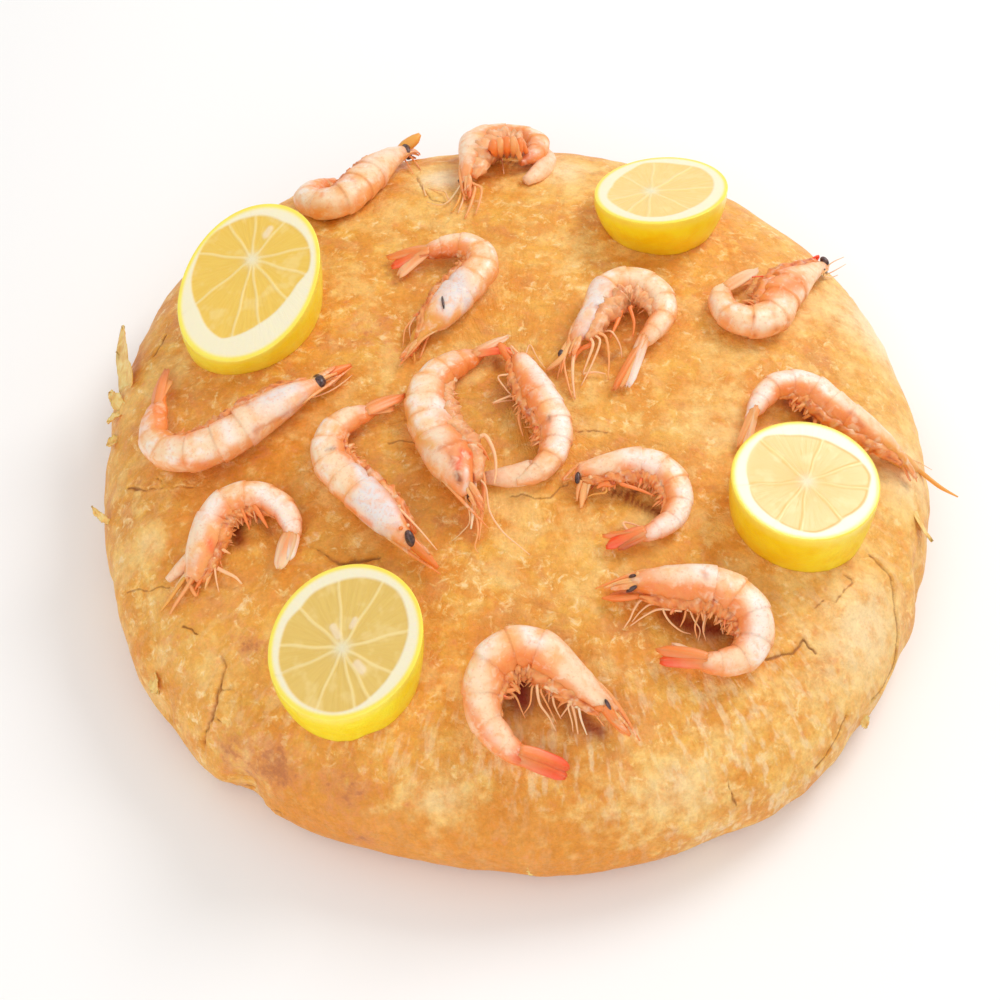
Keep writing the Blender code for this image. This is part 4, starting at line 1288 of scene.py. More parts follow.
class ShrimpBody:
    # Places on and round the body of one shrimp, all lengths in mm of a shrimp of size 1
    def __init__(self, number, looks):
        s = shrimpSettings
        pose = looks["pose"]
        self.looks, self.number = looks, number
        self.side, self.size = pose[3:5]
        self.headLift, self.tailLift, self.snout, self.plump = pose[8:]
        self.columns = list(zip(*bodyLine(pose)))
        self.alongs = [value / mm for value in self.columns[0]]
        rows = [(-self.snout, 0.5, 0.5)] + [row for row in s["section"] if row[0] > -self.snout]
        self.rows = list(zip(*rows))
        self.taper = list(zip(*s["taper"]))
        self.slim = looks.get("slim", (1, 1))
        self.shift = 0.0
        self.shift = self.settle(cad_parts[f"shrimp_{number:02d}"]) - looks.get("sink", 0) * mm

    def settle(self, node):
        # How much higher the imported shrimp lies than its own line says
        tree = treeOf(node)
        found = []
        for along in (12, 20, 31, 40, 49, 57):
            middle, up, *_, wide = self.place(along)
            top = heightOn(tree, middle.x, middle.y)
            if top is not None:
                found.append(top - (middle + up * (wide * 0.924)).z)
        return float(np.median(found)) if found else 0.0

    def place(self, along):
        x, y, way = (float(np.interp(along, self.alongs, column)) for column in self.columns[1:])
        scale = mm * self.size * self.plump
        deep, wide = (float(np.interp(along, self.rows[0], column)) * scale for column in self.rows[1:])
        narrow = float(np.interp(along, *self.taper)) * float(np.interp(along, (0, 12, 25), (*self.slim, 1)))
        up = domeNormal(x, y)
        ground = heightOn(cadCrust, x, y)
        if ground is None:
            ground = domeHeight(x, y)
        forward = Vector((math.cos(way), math.sin(way), 0))
        outer = forward.cross(up).normalized() * self.side
        lift = self.headLift * max(0, 1 - max(along, 0) / 27) + self.tailLift * max(0, (along - 50) / 42)
        middle = Vector((x, y, ground + self.shift)) + up * (wide + lift * mm)
        return middle, up, outer, deep * narrow, wide * narrow

    def spot(self, along, out=0.0, high=0.0):
        # out is towards the back (1 is the shell's own height), high is off the crust
        middle, up, outer, deep, wide = self.place(along)
        return middle + outer * (out * deep) + up * (high * wide)


def ringPlace(along):
    # Which ring of the abdomen this is and the share of the way through it
    start = shrimpSettings["head"]
    for number, length in enumerate(shrimpSettings["rings"][:6]):
        if along < start + length:
            return number, (along - start) / length
        start += length
    return 6, (along - start) / shrimpSettings["rings"][6]


def bodyStations():
    # Closer together at the back edge of each ring, so that the step is crisp
    s = shrimpSettings
    out = list(np.linspace(-3.2, s["head"] - 1, 34)) + [s["head"] - 0.5, s["head"] - 0.15, s["head"] + 0.15]
    start = s["head"]
    for length in s["rings"][:6]:
        out += list(np.linspace(start + 0.5, start + length - 0.8, 9))
        out += [start + length - 0.4, start + length - 0.12, start + length + 0.15]
        start += length
    return out


def makeShrimpBody(body):
    s = shrimpSettings
    sides = s["sides"]
    rings, tints = [], []
    turn = np.arange(sides) / sides * 2 * math.pi
    back, flank = np.cos(turn), np.sin(turn)
    for along in bodyStations():
        middle, up, outer, deep, wide = body.place(along)
        if along < s["head"] + 0.01:
            # Head shell: a flared back edge, and a belly line that rises towards the mouth
            t = along / s["head"]
            swell = 1.0 + 0.05 * smoothStep(0.8, 1.0, t) - 0.02 * smoothStep(0.6, 0.85, t)
            belly = float(np.interp(along, (-3.2, 0, 4, 10, 20, 27), (0.15, 0.45, 0.72, 0.9, 0.98, 1.0)))
            crown = float(np.interp(along, (-3.2, -1.5, 2, 8, 27), (1.0, 1.1, 1.08, 1.02, 1.0)))
            narrow = float(np.interp(along, (-3.2, -2.2, 0, 4, 10), (0.25, 0.6, 0.85, 0.97, 1.0)))
            reach = np.where(back > 0, crown, belly) * swell
            breadth = np.full(sides, swell * narrow)
            reach = reach * (1 + 0.05 * np.exp(-(turn**2) / 0.02) * smoothStep(1.0, 0.3, t))
        else:
            ring, t = ringPlace(along)
            swell = 0.965 + 0.075 * smoothStep(0.0, 0.92, t) - 0.012 * math.sin(math.pi * min(1, t)) ** 2
            if t < 0.03 and ring < 6:
                swell = 0.955
            swell *= 1 - 0.4 * float(smoothStep(72.5, 78.5, along))
            lobe = 0.10 * math.sin(math.pi * min(1, max(0, t))) ** 1.5
            reach = np.where(back > 0, 1.0, 0.92 + lobe) * swell
            breadth = swell * np.where(back > -0.55, 1.0, 1.0 - 0.25 * (-0.55 - back) / 0.45)
        # A little squarer than an ellipse, so that the flank is broad
        outs = np.sign(back) * np.abs(back) ** 0.9 * reach * deep
        ups = np.sign(flank) * np.abs(flank) ** 0.9 * breadth * wide
        rings.append([middle + outer * float(a) + up * float(b) for a, b in zip(outs, ups)])
        tints.append(shrimpTint(along, back, flank, body))
    return loftPart(rings, tints)


def shrimpTint(along, back, flank, body):
    s, c = shrimpSettings, shrimpColours
    grey, red = body.looks["grey"], body.looks["red"]

    def lumps(size, seed):
        # Uneven cooking, in lumps of this many mm
        rise = body.number * 3 + seed
        places = ((along / size, b * 8 / size, f * 8 / size + rise) for b, f in zip(back, flank))
        return np.array([noise.noise(Vector(place)) for place in places])

    patch, fleck = lumps(6, 0), lumps(2.4, 50)
    # Painted highlight: the top of the flank, where light falls, is paler
    crown = smoothStep(-0.1, 0.7, flank) * smoothStep(-0.75, 0.1, back)
    base = np.tile(c["salmon"], (len(back), 1))
    if along < s["head"]:
        t = along / s["head"]
        colour = mixColour(base, c["pale"], crown * 0.75 + 0.6 * patch + 0.5 * fleck)
        colour = mixColour(colour, c["grey"], grey * smoothStep(-0.2, 0.4, patch + 0.3 * crown) * (t > 0.15))
        front = 1 - smoothStep(0.0, 0.4, t)
        colour = mixColour(colour, c["orange"], 0.75 * front * (0.8 + 0.2 * back))
        colour = mixColour(colour, c["orange"], 0.85 * smoothStep(0.1, 0.8, -back + 0.4 * patch))
        rim = math.exp(-(((t - 0.985) / 0.03) ** 2))
        colour = mixColour(colour, c["orange"], np.full(len(back), 0.35 * rim))
    else:
        ring, t = ringPlace(along)
        edge = math.exp(-(((t - 0.02) / 0.16) ** 2)) + 0.8 * math.exp(-(((t - 0.98) / 0.11) ** 2))
        colour = mixColour(base, c["pale"], crown * (0.9 - 0.75 * edge) + 0.7 * patch + 0.6 * fleck)
        # Painted highlight: whiter patches on the lit top of each ring, broken by the flecks
        white = crown * smoothStep(0.15, 0.5, patch + fleck) * (1 - min(1, edge))
        colour = mixColour(colour, c["white"], white * 0.8)
        line = math.exp(-(((t - 0.995) / 0.05) ** 2)) + math.exp(-((t / 0.05) ** 2))
        colour = mixColour(colour, c["orange"], 0.38 * min(1, line) * (0.7 + fleck))
        late = smoothStep(55, 80, along)
        colour = mixColour(colour, c["orange"], late * (0.25 + 0.6 * red) + 0.3 * patch * late)
        colour = mixColour(colour, c["red"], red * smoothStep(66, 84, along) * 0.6)
        colour = mixColour(colour, c["orange"], 0.8 * smoothStep(0.05, 0.75, -back + 0.4 * patch))
        colour = mixColour(colour, c["orange"], 0.3 * smoothStep(0.7, 1.0, back))
    return colour


def paintTones(part, tones):
    # Tones round points of the picture, laid on the skin that shows there
    tree = BVHTree.FromPolygons([tuple(v) for v in part["verts"]], part["faces"])
    points = np.array([tuple(v) for v in part["verts"]])
    tints = np.array(part["tints"])
    for tone, share, reach, spots in tones:
        path = []
        for spot in spots:
            hit = tree.ray_cast(cameraSpot, pixelRay(*spot))[0]
            path.append(np.array(hit if hit else tree.find_nearest(onPie(*spot, 5 * mm))[0]))
        away = np.full(len(points), farAway)
        for a, b in zip(path, path[1:]):
            away = np.minimum(away, awayFrom(points, a, b))
        amount = share * np.exp(-((away / (reach * pixel)) ** 2))
        tints = mixColour(tints, shrimpColours[tone], amount)
    part["tints"] = list(tints)


def bladePart(start, along, across, flat, length, width, thick, tintA, tintB, bend=0.0, root=0.35, slot=0):
    # A leaf with a raised middle rib, for the fan and for the scales at the mouth
    rows, columns = 12, 6
    top, bottom, tints = [], [], []
    for i in range(rows + 1):
        u = i / rows
        taper = (1 - 0.36 * u**1.6) * (1 - max(0, (u - 0.8) / 0.2) ** 2 * 0.55)
        spread = width / 2 * (root + (1 - root) * math.sin(min(1.0, u * 2.4) * math.pi / 2)) * taper
        middle = start + along * (length * u) + flat * (bend * length * math.sin(u * math.pi))
        for j in range(columns + 1):
            v = j / columns * 2 - 1
            rib = thick * (0.7 * math.exp(-((v / 0.22) ** 2)) + 0.5 * (1 - v * v))
            notch = 0.08 * length * u * noise.noise(Vector((v * 3, length * 900, 0)))
            spot = middle + across * (spread * v) + along * notch
            top.append(spot + flat * rib)
            bottom.append(spot - flat * (0.5 * thick * (1 - v * v) + 0.05 * mm))
            tint = mixColour(tintA, tintB, min(1, u * 1.4) * (0.75 + 0.25 * abs(v)))
            stripe = noise.noise(Vector((v * 4, u * 1.2, width * 900)))
            tint = mixColour(tint, shrimpColours["pale"], max(0, stripe) * 0.3)
            tints.append(mixColour(tint, shrimpColours["orange"], max(0, -stripe) * 0.9))
    return {"verts": top + bottom, "faces": sheetFaces(rows, columns), "tints": tints * 2, "slot": slot}


def sheetFaces(rows, columns):
    # Both sides and the rim of a thin sheet of rows and columns of points
    n = columns + 1
    base = (rows + 1) * n
    faces = []
    for i in range(rows):
        for j in range(columns):
            a, b, c, d = i * n + j, i * n + j + 1, (i + 1) * n + j + 1, (i + 1) * n + j
            faces += [(a, b, c, d), (base + a, base + d, base + c, base + b)]
    ring = list(range(n)) + [i * n + columns for i in range(1, rows + 1)]
    ring += [rows * n + j for j in range(columns - 1, -1, -1)] + [i * n for i in range(rows - 1, 0, -1)]
    return faces + [(a, base + a, base + b, b) for a, b in zip(ring, ring[1:] + ring[:1])]


def makeFan(body):
    # Blades that overlap the last ring and end at points of the picture
    c = shrimpColours
    parts = []
    up = body.place(76)[1]
    base = mixColour(c["salmon"], c["orange"], 0.3 + 0.6 * body.looks["red"])
    count = len(body.looks["fan"])
    for i, (tip, width, tone) in enumerate(body.looks["fan"]):
        start = body.spot(74, 0.25 * (i - (count - 1) / 2), 0.62 - 0.12 * i)
        ahead = onPie(*tip, 3 * mm) - start
        longest = shrimpSettings["blade"] * mm * body.size
        if ahead.length > longest:
            ahead = ahead * (longest / ahead.length)
        along = ahead.normalized()
        across = up.cross(along).normalized()
        flat = along.cross(across).normalized()
        flat = flat if flat.dot(up) > 0 else -flat
        broad = max(width * 1.35, 10) * pixel
        size = (ahead.length, broad, 1.2 * mm)
        parts.append(bladePart(start, along, across, flat, *size, base, c[tone], 0.04, 0.72, 2))
    return parts


def ovalPart(start, end, radius, tint, slot):
    # A ball stretched from one place to another
    way = end - start
    half = max(way.length / 2, radius)
    turn = way.to_track_quat("Z", "Y") if way.length > 1e-6 else Vector((0, 0, 1)).to_track_quat("Z", "Y")
    form = bmesh.new()
    bmesh.ops.create_uvsphere(form, u_segments=16, v_segments=10, radius=1)
    middle = (start + end) / 2
    verts = [middle + turn @ Vector((v.co.x * radius, v.co.y * radius, v.co.z * half)) for v in form.verts]
    faces = [tuple(v.index for v in face.verts) for face in form.faces]
    form.free()
    return {"verts": verts, "faces": faces, "tints": [tint] * len(verts), "slot": slot}


def makeHead(body, skin):
    # Eyes, the spike over them, and the scales and stalks in front of the mouth
    c = shrimpColours
    k = mm * body.size
    tree = BVHTree.FromPolygons([tuple(v) for v in skin["verts"]], skin["faces"])
    parts = []
    for start, end, width in body.looks["eyes"] + body.looks.get("marks", ()):
        ends = []
        for spot in (start, end):
            ray = pixelRay(*spot)
            hit = tree.ray_cast(cameraSpot, ray)[0]
            ends.append(hit - ray * (0.5 * mm) if hit else onPie(*spot, 5 * mm, body.spot(0, 0.3, 0.6)))
        parts.append(ovalPart(*ends, width * 0.43 * pixel, c["eye"], 1))
    # The eye on the side that faces the crust
    if body.looks["eyes"] and body.looks.get("slim", (1, 1))[0] < 1.1:
        under = body.spot(0.5, 0.3, -0.8)
        parts.append(ovalPart(under, under, 1.5 * k, c["eye"], 1))
    # The spike
    points = [body.spot(*place, 0) for place in ((8, 0.96), (2, 1.1), (-5, 1.3), (-body.snout, 0.6))]
    widths = [0.6 * k, 0.9 * k, 0.7 * k, 0.25 * k]
    parts.append(tubePart(points, widths, c["salmon"], c["orange"], 8, 0.5, 0, 22))
    widths = [1.0 * k, 0.8 * k, 0.4 * k]
    up, outer = body.place(-1)[1:3]
    ahead = (body.place(-8)[0] - body.place(0)[0]).normalized()
    for across in (-0.55, 0.55):
        turned = (ahead - outer * 0.1 + up * (across * 0.12)).normalized()
        side = turned.cross(up).normalized()
        start = body.spot(0, -0.1, across)
        length = min(10, body.snout) * k
        parts.append(bladePart(start, turned, side, up, length, 2.6 * k, 0.5 * k, c["salmon"], c["orange"]))
        start = body.spot(-1, 0.2, across * 0.6)
        end = start + ahead * (min(8, body.snout) * k)
        middle = (start + end) / 2 + up * (0.4 * k)
        parts.append(tubePart([start, middle, end], widths, c["salmon"], c["strand"], 8, 0.8))
    return parts


def fleshPart(body):
    # The soft, lumpy inner edge that the legs grow from
    c = shrimpColours
    k = mm * body.size
    sides, stations = 14, 60
    soft = body.looks.get("flesh", 1)
    rings, tints = [], []
    for i in range(stations):
        along = 0.5 + 62 * i / (stations - 1)
        middle, up, outer, deep, wide = body.place(along)
        thick = soft * k * float(np.interp(along, (0, 6, 20, 34, 50, 63), (0.8, 2.2, 3.3, 3.0, 2.2, 0.6)))
        centre = middle - outer * (deep * 0.9) - up * (wide * 0.1)
        ring, tint = [], []
        for j in range(sides):
            turn = 2 * math.pi * j / sides
            place = Vector((along / 2.2, math.cos(turn) * 1.6, math.sin(turn) * 1.6 + body.number * 4))
            lump = 1 + 0.55 * noise.noise(place)
            ring.append(centre + (outer * math.cos(turn) + up * math.sin(turn)) * (thick * lump))
            share = 0.5 * soft + 1.6 * noise.noise(place * 1.3 + Vector((9, 0, 0)))
            tone = mixColour(c["orange"], c["strand"], share)
            tone = mixColour(tone, c["leg"], (soft - 1) * 0.9)
            brown = (0.1 + 1.5 * noise.noise(place * 0.9 + Vector((0, 31, 0)))) * (1.8 - 0.8 * soft)
            tint.append(mixColour(tone, c["rust"], brown))
        rings.append(ring)
        tints.append(tint)
    return loftPart(rings, tints)


def makeFringe(body):
    # Swimming legs and bristles, short and close together along the soft inner edge
    c = shrimpColours
    k = mm * body.size
    draw = random.Random(100 + body.number)
    parts = []
    count = 44
    for i in range(count):
        root = 10 + 44 * (i + draw.random()) / count
        up, outer = body.place(root)[1:3]
        behind = (body.place(root + 3)[0] - body.place(root)[0]).normalized()
        base = body.spot(root, -1.0, draw.uniform(-0.5, 0.2))
        way = behind * draw.uniform(-0.5, 0.9) - outer * draw.uniform(0.5, 1.1) - up * draw.uniform(0, 0.7)
        way = way.normalized()
        turned = (way + behind * draw.uniform(-0.6, 0.6) - up * 0.4).normalized()
        length = draw.uniform(2.6, 6.0) * k
        middle = base + way * (length * 0.5)
        end = middle + turned * (length * 0.5)
        thick = draw.choice((0.35, 0.45, 0.8, 1.1)) * k
        tone = c[draw.choice(("orange", "red", "rust", "orange", "strand", "leg"))]
        widths = [thick, thick * 0.9, thick * 0.3]
        parts.append(tubePart([base, middle, end], widths, tone, c["strand"], 6, 0.6, 2, 7))
    return parts


def makeLimbs(body, skin):
    c = shrimpColours
    flesh = fleshPart(body)
    parts = [flesh, *makeFringe(body)]
    base = len(skin["verts"])
    points = [tuple(v) for v in skin["verts"]] + [tuple(v) for v in flesh["verts"]]
    faces = list(skin["faces"]) + [tuple(base + i for i in face) for face in flesh["faces"]]
    tree = BVHTree.FromPolygons(points, faces)
    for tone, width, liftA, liftB, spots in body.looks["limbs"]:
        path = []
        near = tree.find_nearest(onPie(*spots[0], liftA * mm, body.place(2)[0]))[0]
        for i, spot in enumerate(spots):
            lift = liftA + (liftB - liftA) * i / (len(spots) - 1)
            path.append(onPie(*spot, lift * mm, path[-1] if path else near))
        # Each limb starts inside the body where that is near
        near, *_, away = tree.find_nearest(path[0])
        if 0.2 * mm < away < 11 * mm:
            path.insert(0, near - (path[0] - near).normalized() * (0.6 * mm))
        radius = width / 2 * pixel
        slot = 0 if tone == "skin" else 2
        shares = shrimpSettings["limb"]["thin" if width < 4.6 else "skin" if slot == 0 else "thick"]
        parts.append(tubePart(path, [radius * share for share in shares], c[tone], c[tone], 12, 0.8, slot))
    return parts


def makeShrimpMaterials():
    shell, tree, shader = newMaterial("cookedShell", 0.36)
    spot = objectSpot(tree)
    tint = attributeOut(tree, "tint", "Color")
    blotch = noiseOut(tree, spot, 3.4 * mm, 2.5, 0.6, 0.5)
    speckle = noiseOut(tree, spot, 1.1 * mm, 2.0, 0.6)
    colour = mixOut(tree, rangeOut(tree, blotch, 0.48, 0.72, 0, 0.4), tint, rgba(250, 166, 92))
    colour = mixOut(tree, rangeOut(tree, blotch, 0.3, 0.5, 0.42, 0.0), colour, rgba(254, 227, 194))
    colour = mixOut(tree, rangeOut(tree, speckle, 0.56, 0.72, 0, 0.28), colour, rgba(226, 122, 68))
    surface = {
        "Base Color": colour,
        "Roughness": rangeOut(tree, blotch, 0.3, 0.7, 0.28, 0.45),
        "Normal": bumpOut(tree, noiseOut(tree, spot, 2.0 * mm, 4.0), 0.35 * mm),
        "Subsurface Weight": 0.2,
        "Subsurface Radius": (1.0, 0.45, 0.3),
        "Subsurface Scale": 2.5 * mm,
        "Coat Weight": 0.08,
        "Coat Roughness": 0.25,
        "Specular IOR Level": 0.4,
    }
    setInputs(tree, shader, surface)
    eye, tree, shader = newMaterial("darkEye", 0.3)
    glint = noiseOut(tree, objectSpot(tree), 1.2 * mm, 2.0)
    dark = rampOut(tree, glint, ((0.35, rgba(52, 30, 26)), (0.65, rgba(108, 78, 74))))
    setInputs(tree, shader, {"Base Color": dark})
    limb, tree, shader = newMaterial("thinLimb", 0.4)
    fleck = noiseOut(tree, objectSpot(tree), 2.5 * mm, 3.0)
    tint = attributeOut(tree, "tint", "Color")
    colour = mixOut(tree, rangeOut(tree, fleck, 0.4, 0.7, 0, 0.08), tint, rgba(250, 190, 130))
    setInputs(tree, shader, {"Base Color": colour, "Subsurface Weight": 0.2, "Subsurface Scale": 1.5 * mm})
    return [shell, eye, limb]


def makeShrimps():
    materials = makeShrimpMaterials()
    made = []
    for number, looks in enumerate(shrimps, 1):
        body = ShrimpBody(number, looks)
        skin = makeShrimpBody(body)
        paintTones(skin, looks["tones"])
        parts = [skin, *makeFan(body), *makeHead(body, skin), *makeLimbs(body, skin)]
        made.append(meshFrom(f"cookedShrimp{number:02d}", parts, materials))
    return made


lemonSettings = {
    # x, y, radius, thickness, lean, towards, share of the radius at the bottom, oval, its turn
    "slices": (
        (-98, 44.2, 28.8, 20, 20, -135, 0.95, 1.08, 74), (57, 94.5, 25.9, 16, 19, 101, 0.86, 1.04, 50),
        (100, -44, 25.8, 17.5, 7, 15, 0.95, 1.035, 38), (-55, -105, 25.6, 15.5, 24, -145, 0.94, 1.03, -30),
    ),
    # In the picture: the middle of the slice, where the walls between the wedges end, the outline
    # of the flesh, and both ends and half width in mm of each seed
    "cores": ((252, 259), (651, 191), (807, 481), (342, 648)),
    "walls": (
        (
            (256, 216), (283, 223), (308, 247), (305, 274), (287, 300), (259, 323), (232, 336), (195, 304),
            (198, 253), (229, 224),
        ),
        ((648, 217), (688, 208), (713, 187), (692, 166), (654, 163), (622, 176), (610, 200), (627, 212)),
        ((777, 520), (802, 530), (842, 518), (868, 489), (864, 461), (823, 438), (762, 440), (750, 485)),
        (
            (339, 581), (382, 584), (408, 630), (391, 673), (369, 697), (355, 707), (316, 708), (280, 674),
            (280, 645), (300, 609),
        ),
    ),
    "flesh": (
        (
            (264, 215), (282, 221), (299, 230), (308, 242), (311, 257), (309, 270), (297, 284), (286, 300),
            (272, 315), (259, 324), (241, 334), (221, 339), (208, 329), (199, 311), (192, 294), (191, 278),
            (196, 261), (203, 245), (213, 233), (229, 224), (247, 217),
        ),
        (
            (643, 163), (678, 164), (701, 168), (713, 178), (714, 187), (705, 200), (689, 209), (667, 216),
            (645, 217), (628, 212), (615, 205), (607, 198), (612, 186), (621, 176), (632, 169),
        ),
        (
            (764, 436), (789, 435), (815, 437), (840, 447), (861, 461), (871, 475), (869, 487), (864, 503),
            (845, 517), (830, 528), (815, 533), (797, 530), (779, 522), (765, 512), (753, 499), (748, 481),
            (746, 464), (753, 447),
        ),
        (
            (358, 577), (379, 580), (399, 592), (406, 608), (409, 628), (404, 649), (392, 672), (374, 694),
            (355, 708), (334, 713), (314, 709), (297, 699), (285, 682), (278, 660), (281, 638), (287, 621),
            (300, 608), (312, 593), (335, 582),
        ),
    ),
    "seeds": (
        (((266, 235), (270, 229), 1.7),),
        (),
        (),
        (((333, 627), (338, 636), 1.5), ((355, 620), (352, 626), 1.3), ((357, 664), (362, 670), 1.8)),
    ),
    "around": 240,
    "across": 54,
    "wall": 0.12,  # half thickness of the skins between the wedges, in mm
    "sac": (0.14, 0.1, 0.05, 0.14),  # height of the juice sacs in mm
    "smooth": 25,  # points over which the outline of the flesh is evened out, an odd number
}

lemonColours = {
    "flesh": (rgba(243, 203, 92), rgba(248, 214, 136), rgba(244, 197, 114), rgba(234, 198, 106)),
    "deep": (rgba(238, 194, 78), rgba(245, 206, 120), rgba(243, 196, 112), rgba(228, 189, 94)),
    "wall": rgba(251, 226, 158),
    "pith": rgba(249, 238, 204),
    "rind": (rgba(255, 242, 76), rgba(255, 232, 34), rgba(255, 222, 34), rgba(255, 238, 50)),
    "rindLow": (rgba(255, 228, 40), rgba(254, 214, 8), rgba(252, 206, 8), rgba(255, 222, 20)),
    "zest": rgba(255, 232, 112),
}


def smoothMin(a, b, k):
    h = np.clip(0.5 + 0.5 * (b - a) / k, 0, 1)
    return b * (1 - h) + a * h - k * h * (1 - h)


def makeLemon(number, ground, s):
    x, y, radius, thickness, lean, towards, taper, oval, ovalTurn = s["slices"][number]
    lean, towards, ovalTurn = (math.radians(a) for a in (lean, towards, ovalTurn))
    normal = Vector((math.sin(lean) * math.cos(towards), math.sin(lean) * math.sin(towards), math.cos(lean)))
    centre = Vector((x, y, 0)) * mm
    node = treeOf(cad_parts[f"lemon_slice_{number + 1}"])
    centre.z = heightOn(node, centre.x, centre.y)

    def onFace(px, py):
        # A point of the picture on the plane of the cut, as x and y from the middle of the slice
        ray = pixelRay(px, py)
        t = (centre - cameraSpot).dot(normal) / ray.dot(normal)
        hit = cameraSpot + ray * t - centre
        return np.array((hit.x, hit.y))

    core = onFace(*s["cores"][number])
    edge = np.array([onFace(*spot) - core for spot in s["flesh"][number]])
    edgeTurn = np.arctan2(edge[:, 1], edge[:, 0])
    order = np.argsort(edgeTurn)
    edgeTurn, edgeReach = edgeTurn[order], np.linalg.norm(edge, axis=1)[order]
    edgeTurn = np.concatenate([edgeTurn - 2 * np.pi, edgeTurn, edgeTurn + 2 * np.pi])
    edgeReach = np.tile(edgeReach, 3)
    fineTurn = np.linspace(-np.pi, np.pi, 721)
    fineReach = np.interp(fineTurn, edgeTurn, edgeReach)
    kernel = np.exp(-(np.linspace(-2, 2, s["smooth"]) ** 2))
    half = s["smooth"] // 2
    wrapped = np.concatenate([fineReach[-half - 1 : -1], fineReach, fineReach[1 : half + 1]])
    fineReach = np.convolve(wrapped, kernel / kernel.sum(), "valid")
    walls = sorted(math.atan2(*(onFace(*spot) - core)[::-1]) for spot in s["walls"][number])

    around, across = s["around"], s["across"]
    turns = np.arange(around) / around * 2 * np.pi
    stretch = 1 + (oval - 1) * np.cos(2 * (turns - ovalTurn))
    rim = np.stack([np.cos(turns), np.sin(turns)], 1) * (radius * mm * stretch)[:, None]
    # The face runs from the middle of the slice to a slightly rounded edge
    reaches = list(np.linspace(0, 1, across + 1)[1:] * 0.975) + [0.988, 0.996, 1.0]
    drops = [0.0] * across + [0.05, 0.18, 0.5]
    verts, fields = [], {"flesh": [], "gap": [], "core": [], "grain": [], "rind": [], "seed": []}
    seeds = [(onFace(*a), onFace(*b), w) for a, b, w in s["seeds"][number]]

    def faceValues(p):
        rel = p - core
        r = np.linalg.norm(rel, axis=1)
        phi = np.arctan2(rel[:, 1], rel[:, 0])
        outer = (np.interp(phi, fineTurn, fineReach) - r) / mm
        gapTo = np.full(len(p), farAway)
        wedge = np.zeros(len(p))
        nearest = np.full(len(p), farAway)
        for k, wall in enumerate(walls):
            off = (phi - wall + np.pi) % (2 * np.pi) - np.pi
            wiggle = 0.2 * mm * np.sin(r / mm * 0.45 + k * 2.1)
            d = np.abs(r * np.sin(off) + wiggle * (r > 3 * mm))
            gapTo = np.where(np.abs(off) < np.pi / 2, np.minimum(gapTo, d / mm), gapTo)
            ahead = np.where(off > 0, off, off + 2 * np.pi)
            wedge = np.where(ahead < nearest, k, wedge)
            nearest = np.minimum(ahead, nearest)
        glow = np.exp(-((r / (2.8 * mm)) ** 2))
        seed = np.zeros(len(p))
        for a, b, width in seeds:
            d = awayFrom(p, a, b) / (width * mm)
            seed = np.maximum(seed, np.exp(-(d**2)))
        return outer, gapTo, glow, phi, r, wedge, seed

    def addPoint(spot, *values):
        verts.append(Vector(spot))
        for field, value in zip(fields.values(), values):
            field.append(value)

    def addRow(p, drop, rindShare):
        outer, gapTo, glow, phi, r, wedge, seed = faceValues(p)
        inside = smoothMin(outer, gapTo - s["wall"], 0.6)
        sunk = 0.25 * mm * smoothStep(-0.1, 0.7, inside) * (1 - glow) if drop < 0.01 else np.zeros(len(p))
        # Juice sacs lie along the radius: fine across it, long along it
        grain = np.stack([np.cos(phi) * 13, np.sin(phi) * 13, r / (16 * mm) + wedge * 0.7 + number], 1)
        for i in range(len(p)):
            z = -(normal.x * p[i, 0] + normal.y * p[i, 1]) / normal.z
            sac = 0.0
            if drop < 0.01 and inside[i] > 0.1:
                sac = s["sac"][number] * mm * noise.noise(Vector((*grain[i][:2], grain[i][2] * 3)))
            z += -sunk[i] + sac - drop * mm + 0.5 * mm * seed[i] * (inside[i] > -0.5)
            spot = (centre.x + p[i, 0], centre.y + p[i, 1], centre.z + z)
            addPoint(spot, outer[i], gapTo[i], glow[i], grain[i], rindShare, seed[i])

    addRow(np.zeros((1, 2)), 0, 0)
    for reach, drop in zip(reaches, drops):
        share = smoothStep(0.895, 0.985, reach)
        addRow(rim * reach, drop, float(share))
    faceRows = len(reaches)
    # The rind down to the crust, then the hidden underside
    wallRows = 22
    for k in range(1, wallRows + 1):
        depth = k / wallRows
        reach = 1 - (1 - taper) * max(0, (depth - 0.2) / 0.8) ** 1.8
        for i in range(around):
            px, py = rim[i] * reach
            face = centre.z - (normal.x * rim[i, 0] + normal.y * rim[i, 1]) / normal.z - 0.5 * mm
            low = heightOn(ground, centre.x + px, centre.y + py)
            low = (low if low is not None else domeHeight(centre.x + px, centre.y + py)) - 0.2 * mm
            pore = 0.12 * mm * noise.noise(Vector((centre.x + px, centre.y + py, depth * 0.02)) / (1.6 * mm))
            out = Vector((px, py)).normalized() * pore
            spot = (centre.x + px + out.x, centre.y + py + out.y, face + (low - face) * depth)
            addPoint(spot, -5, 5, 0, (0, 0, 0), 1 + depth, 0)
    faces = [(0, 1 + i, 1 + (i + 1) % around) for i in range(around)]
    for k in range(faceRows + wallRows - 1):
        a = 1 + k * around
        b = a + around
        faces += [(a + i, b + i, b + (i + 1) % around, a + (i + 1) % around) for i in range(around)]
    last = 1 + (faceRows + wallRows - 1) * around
    faces.append(tuple(last + i for i in range(around - 1, -1, -1)))
    mesh = bpy.data.meshes.new("lemon")
    mesh.from_pydata([tuple(v) for v in verts], [], faces)
    mesh.polygons.foreach_set("use_smooth", [True] * (len(faces) - 1) + [False])
    for name, values in fields.items():
        addLayer(mesh, name, values, "FLOAT_VECTOR" if name == "grain" else "FLOAT")
    mesh.update()
    mesh.materials.append(makeLemonMaterial(number, lemonColours))
    return addObject(f"lemonSlice{number + 1}", mesh)


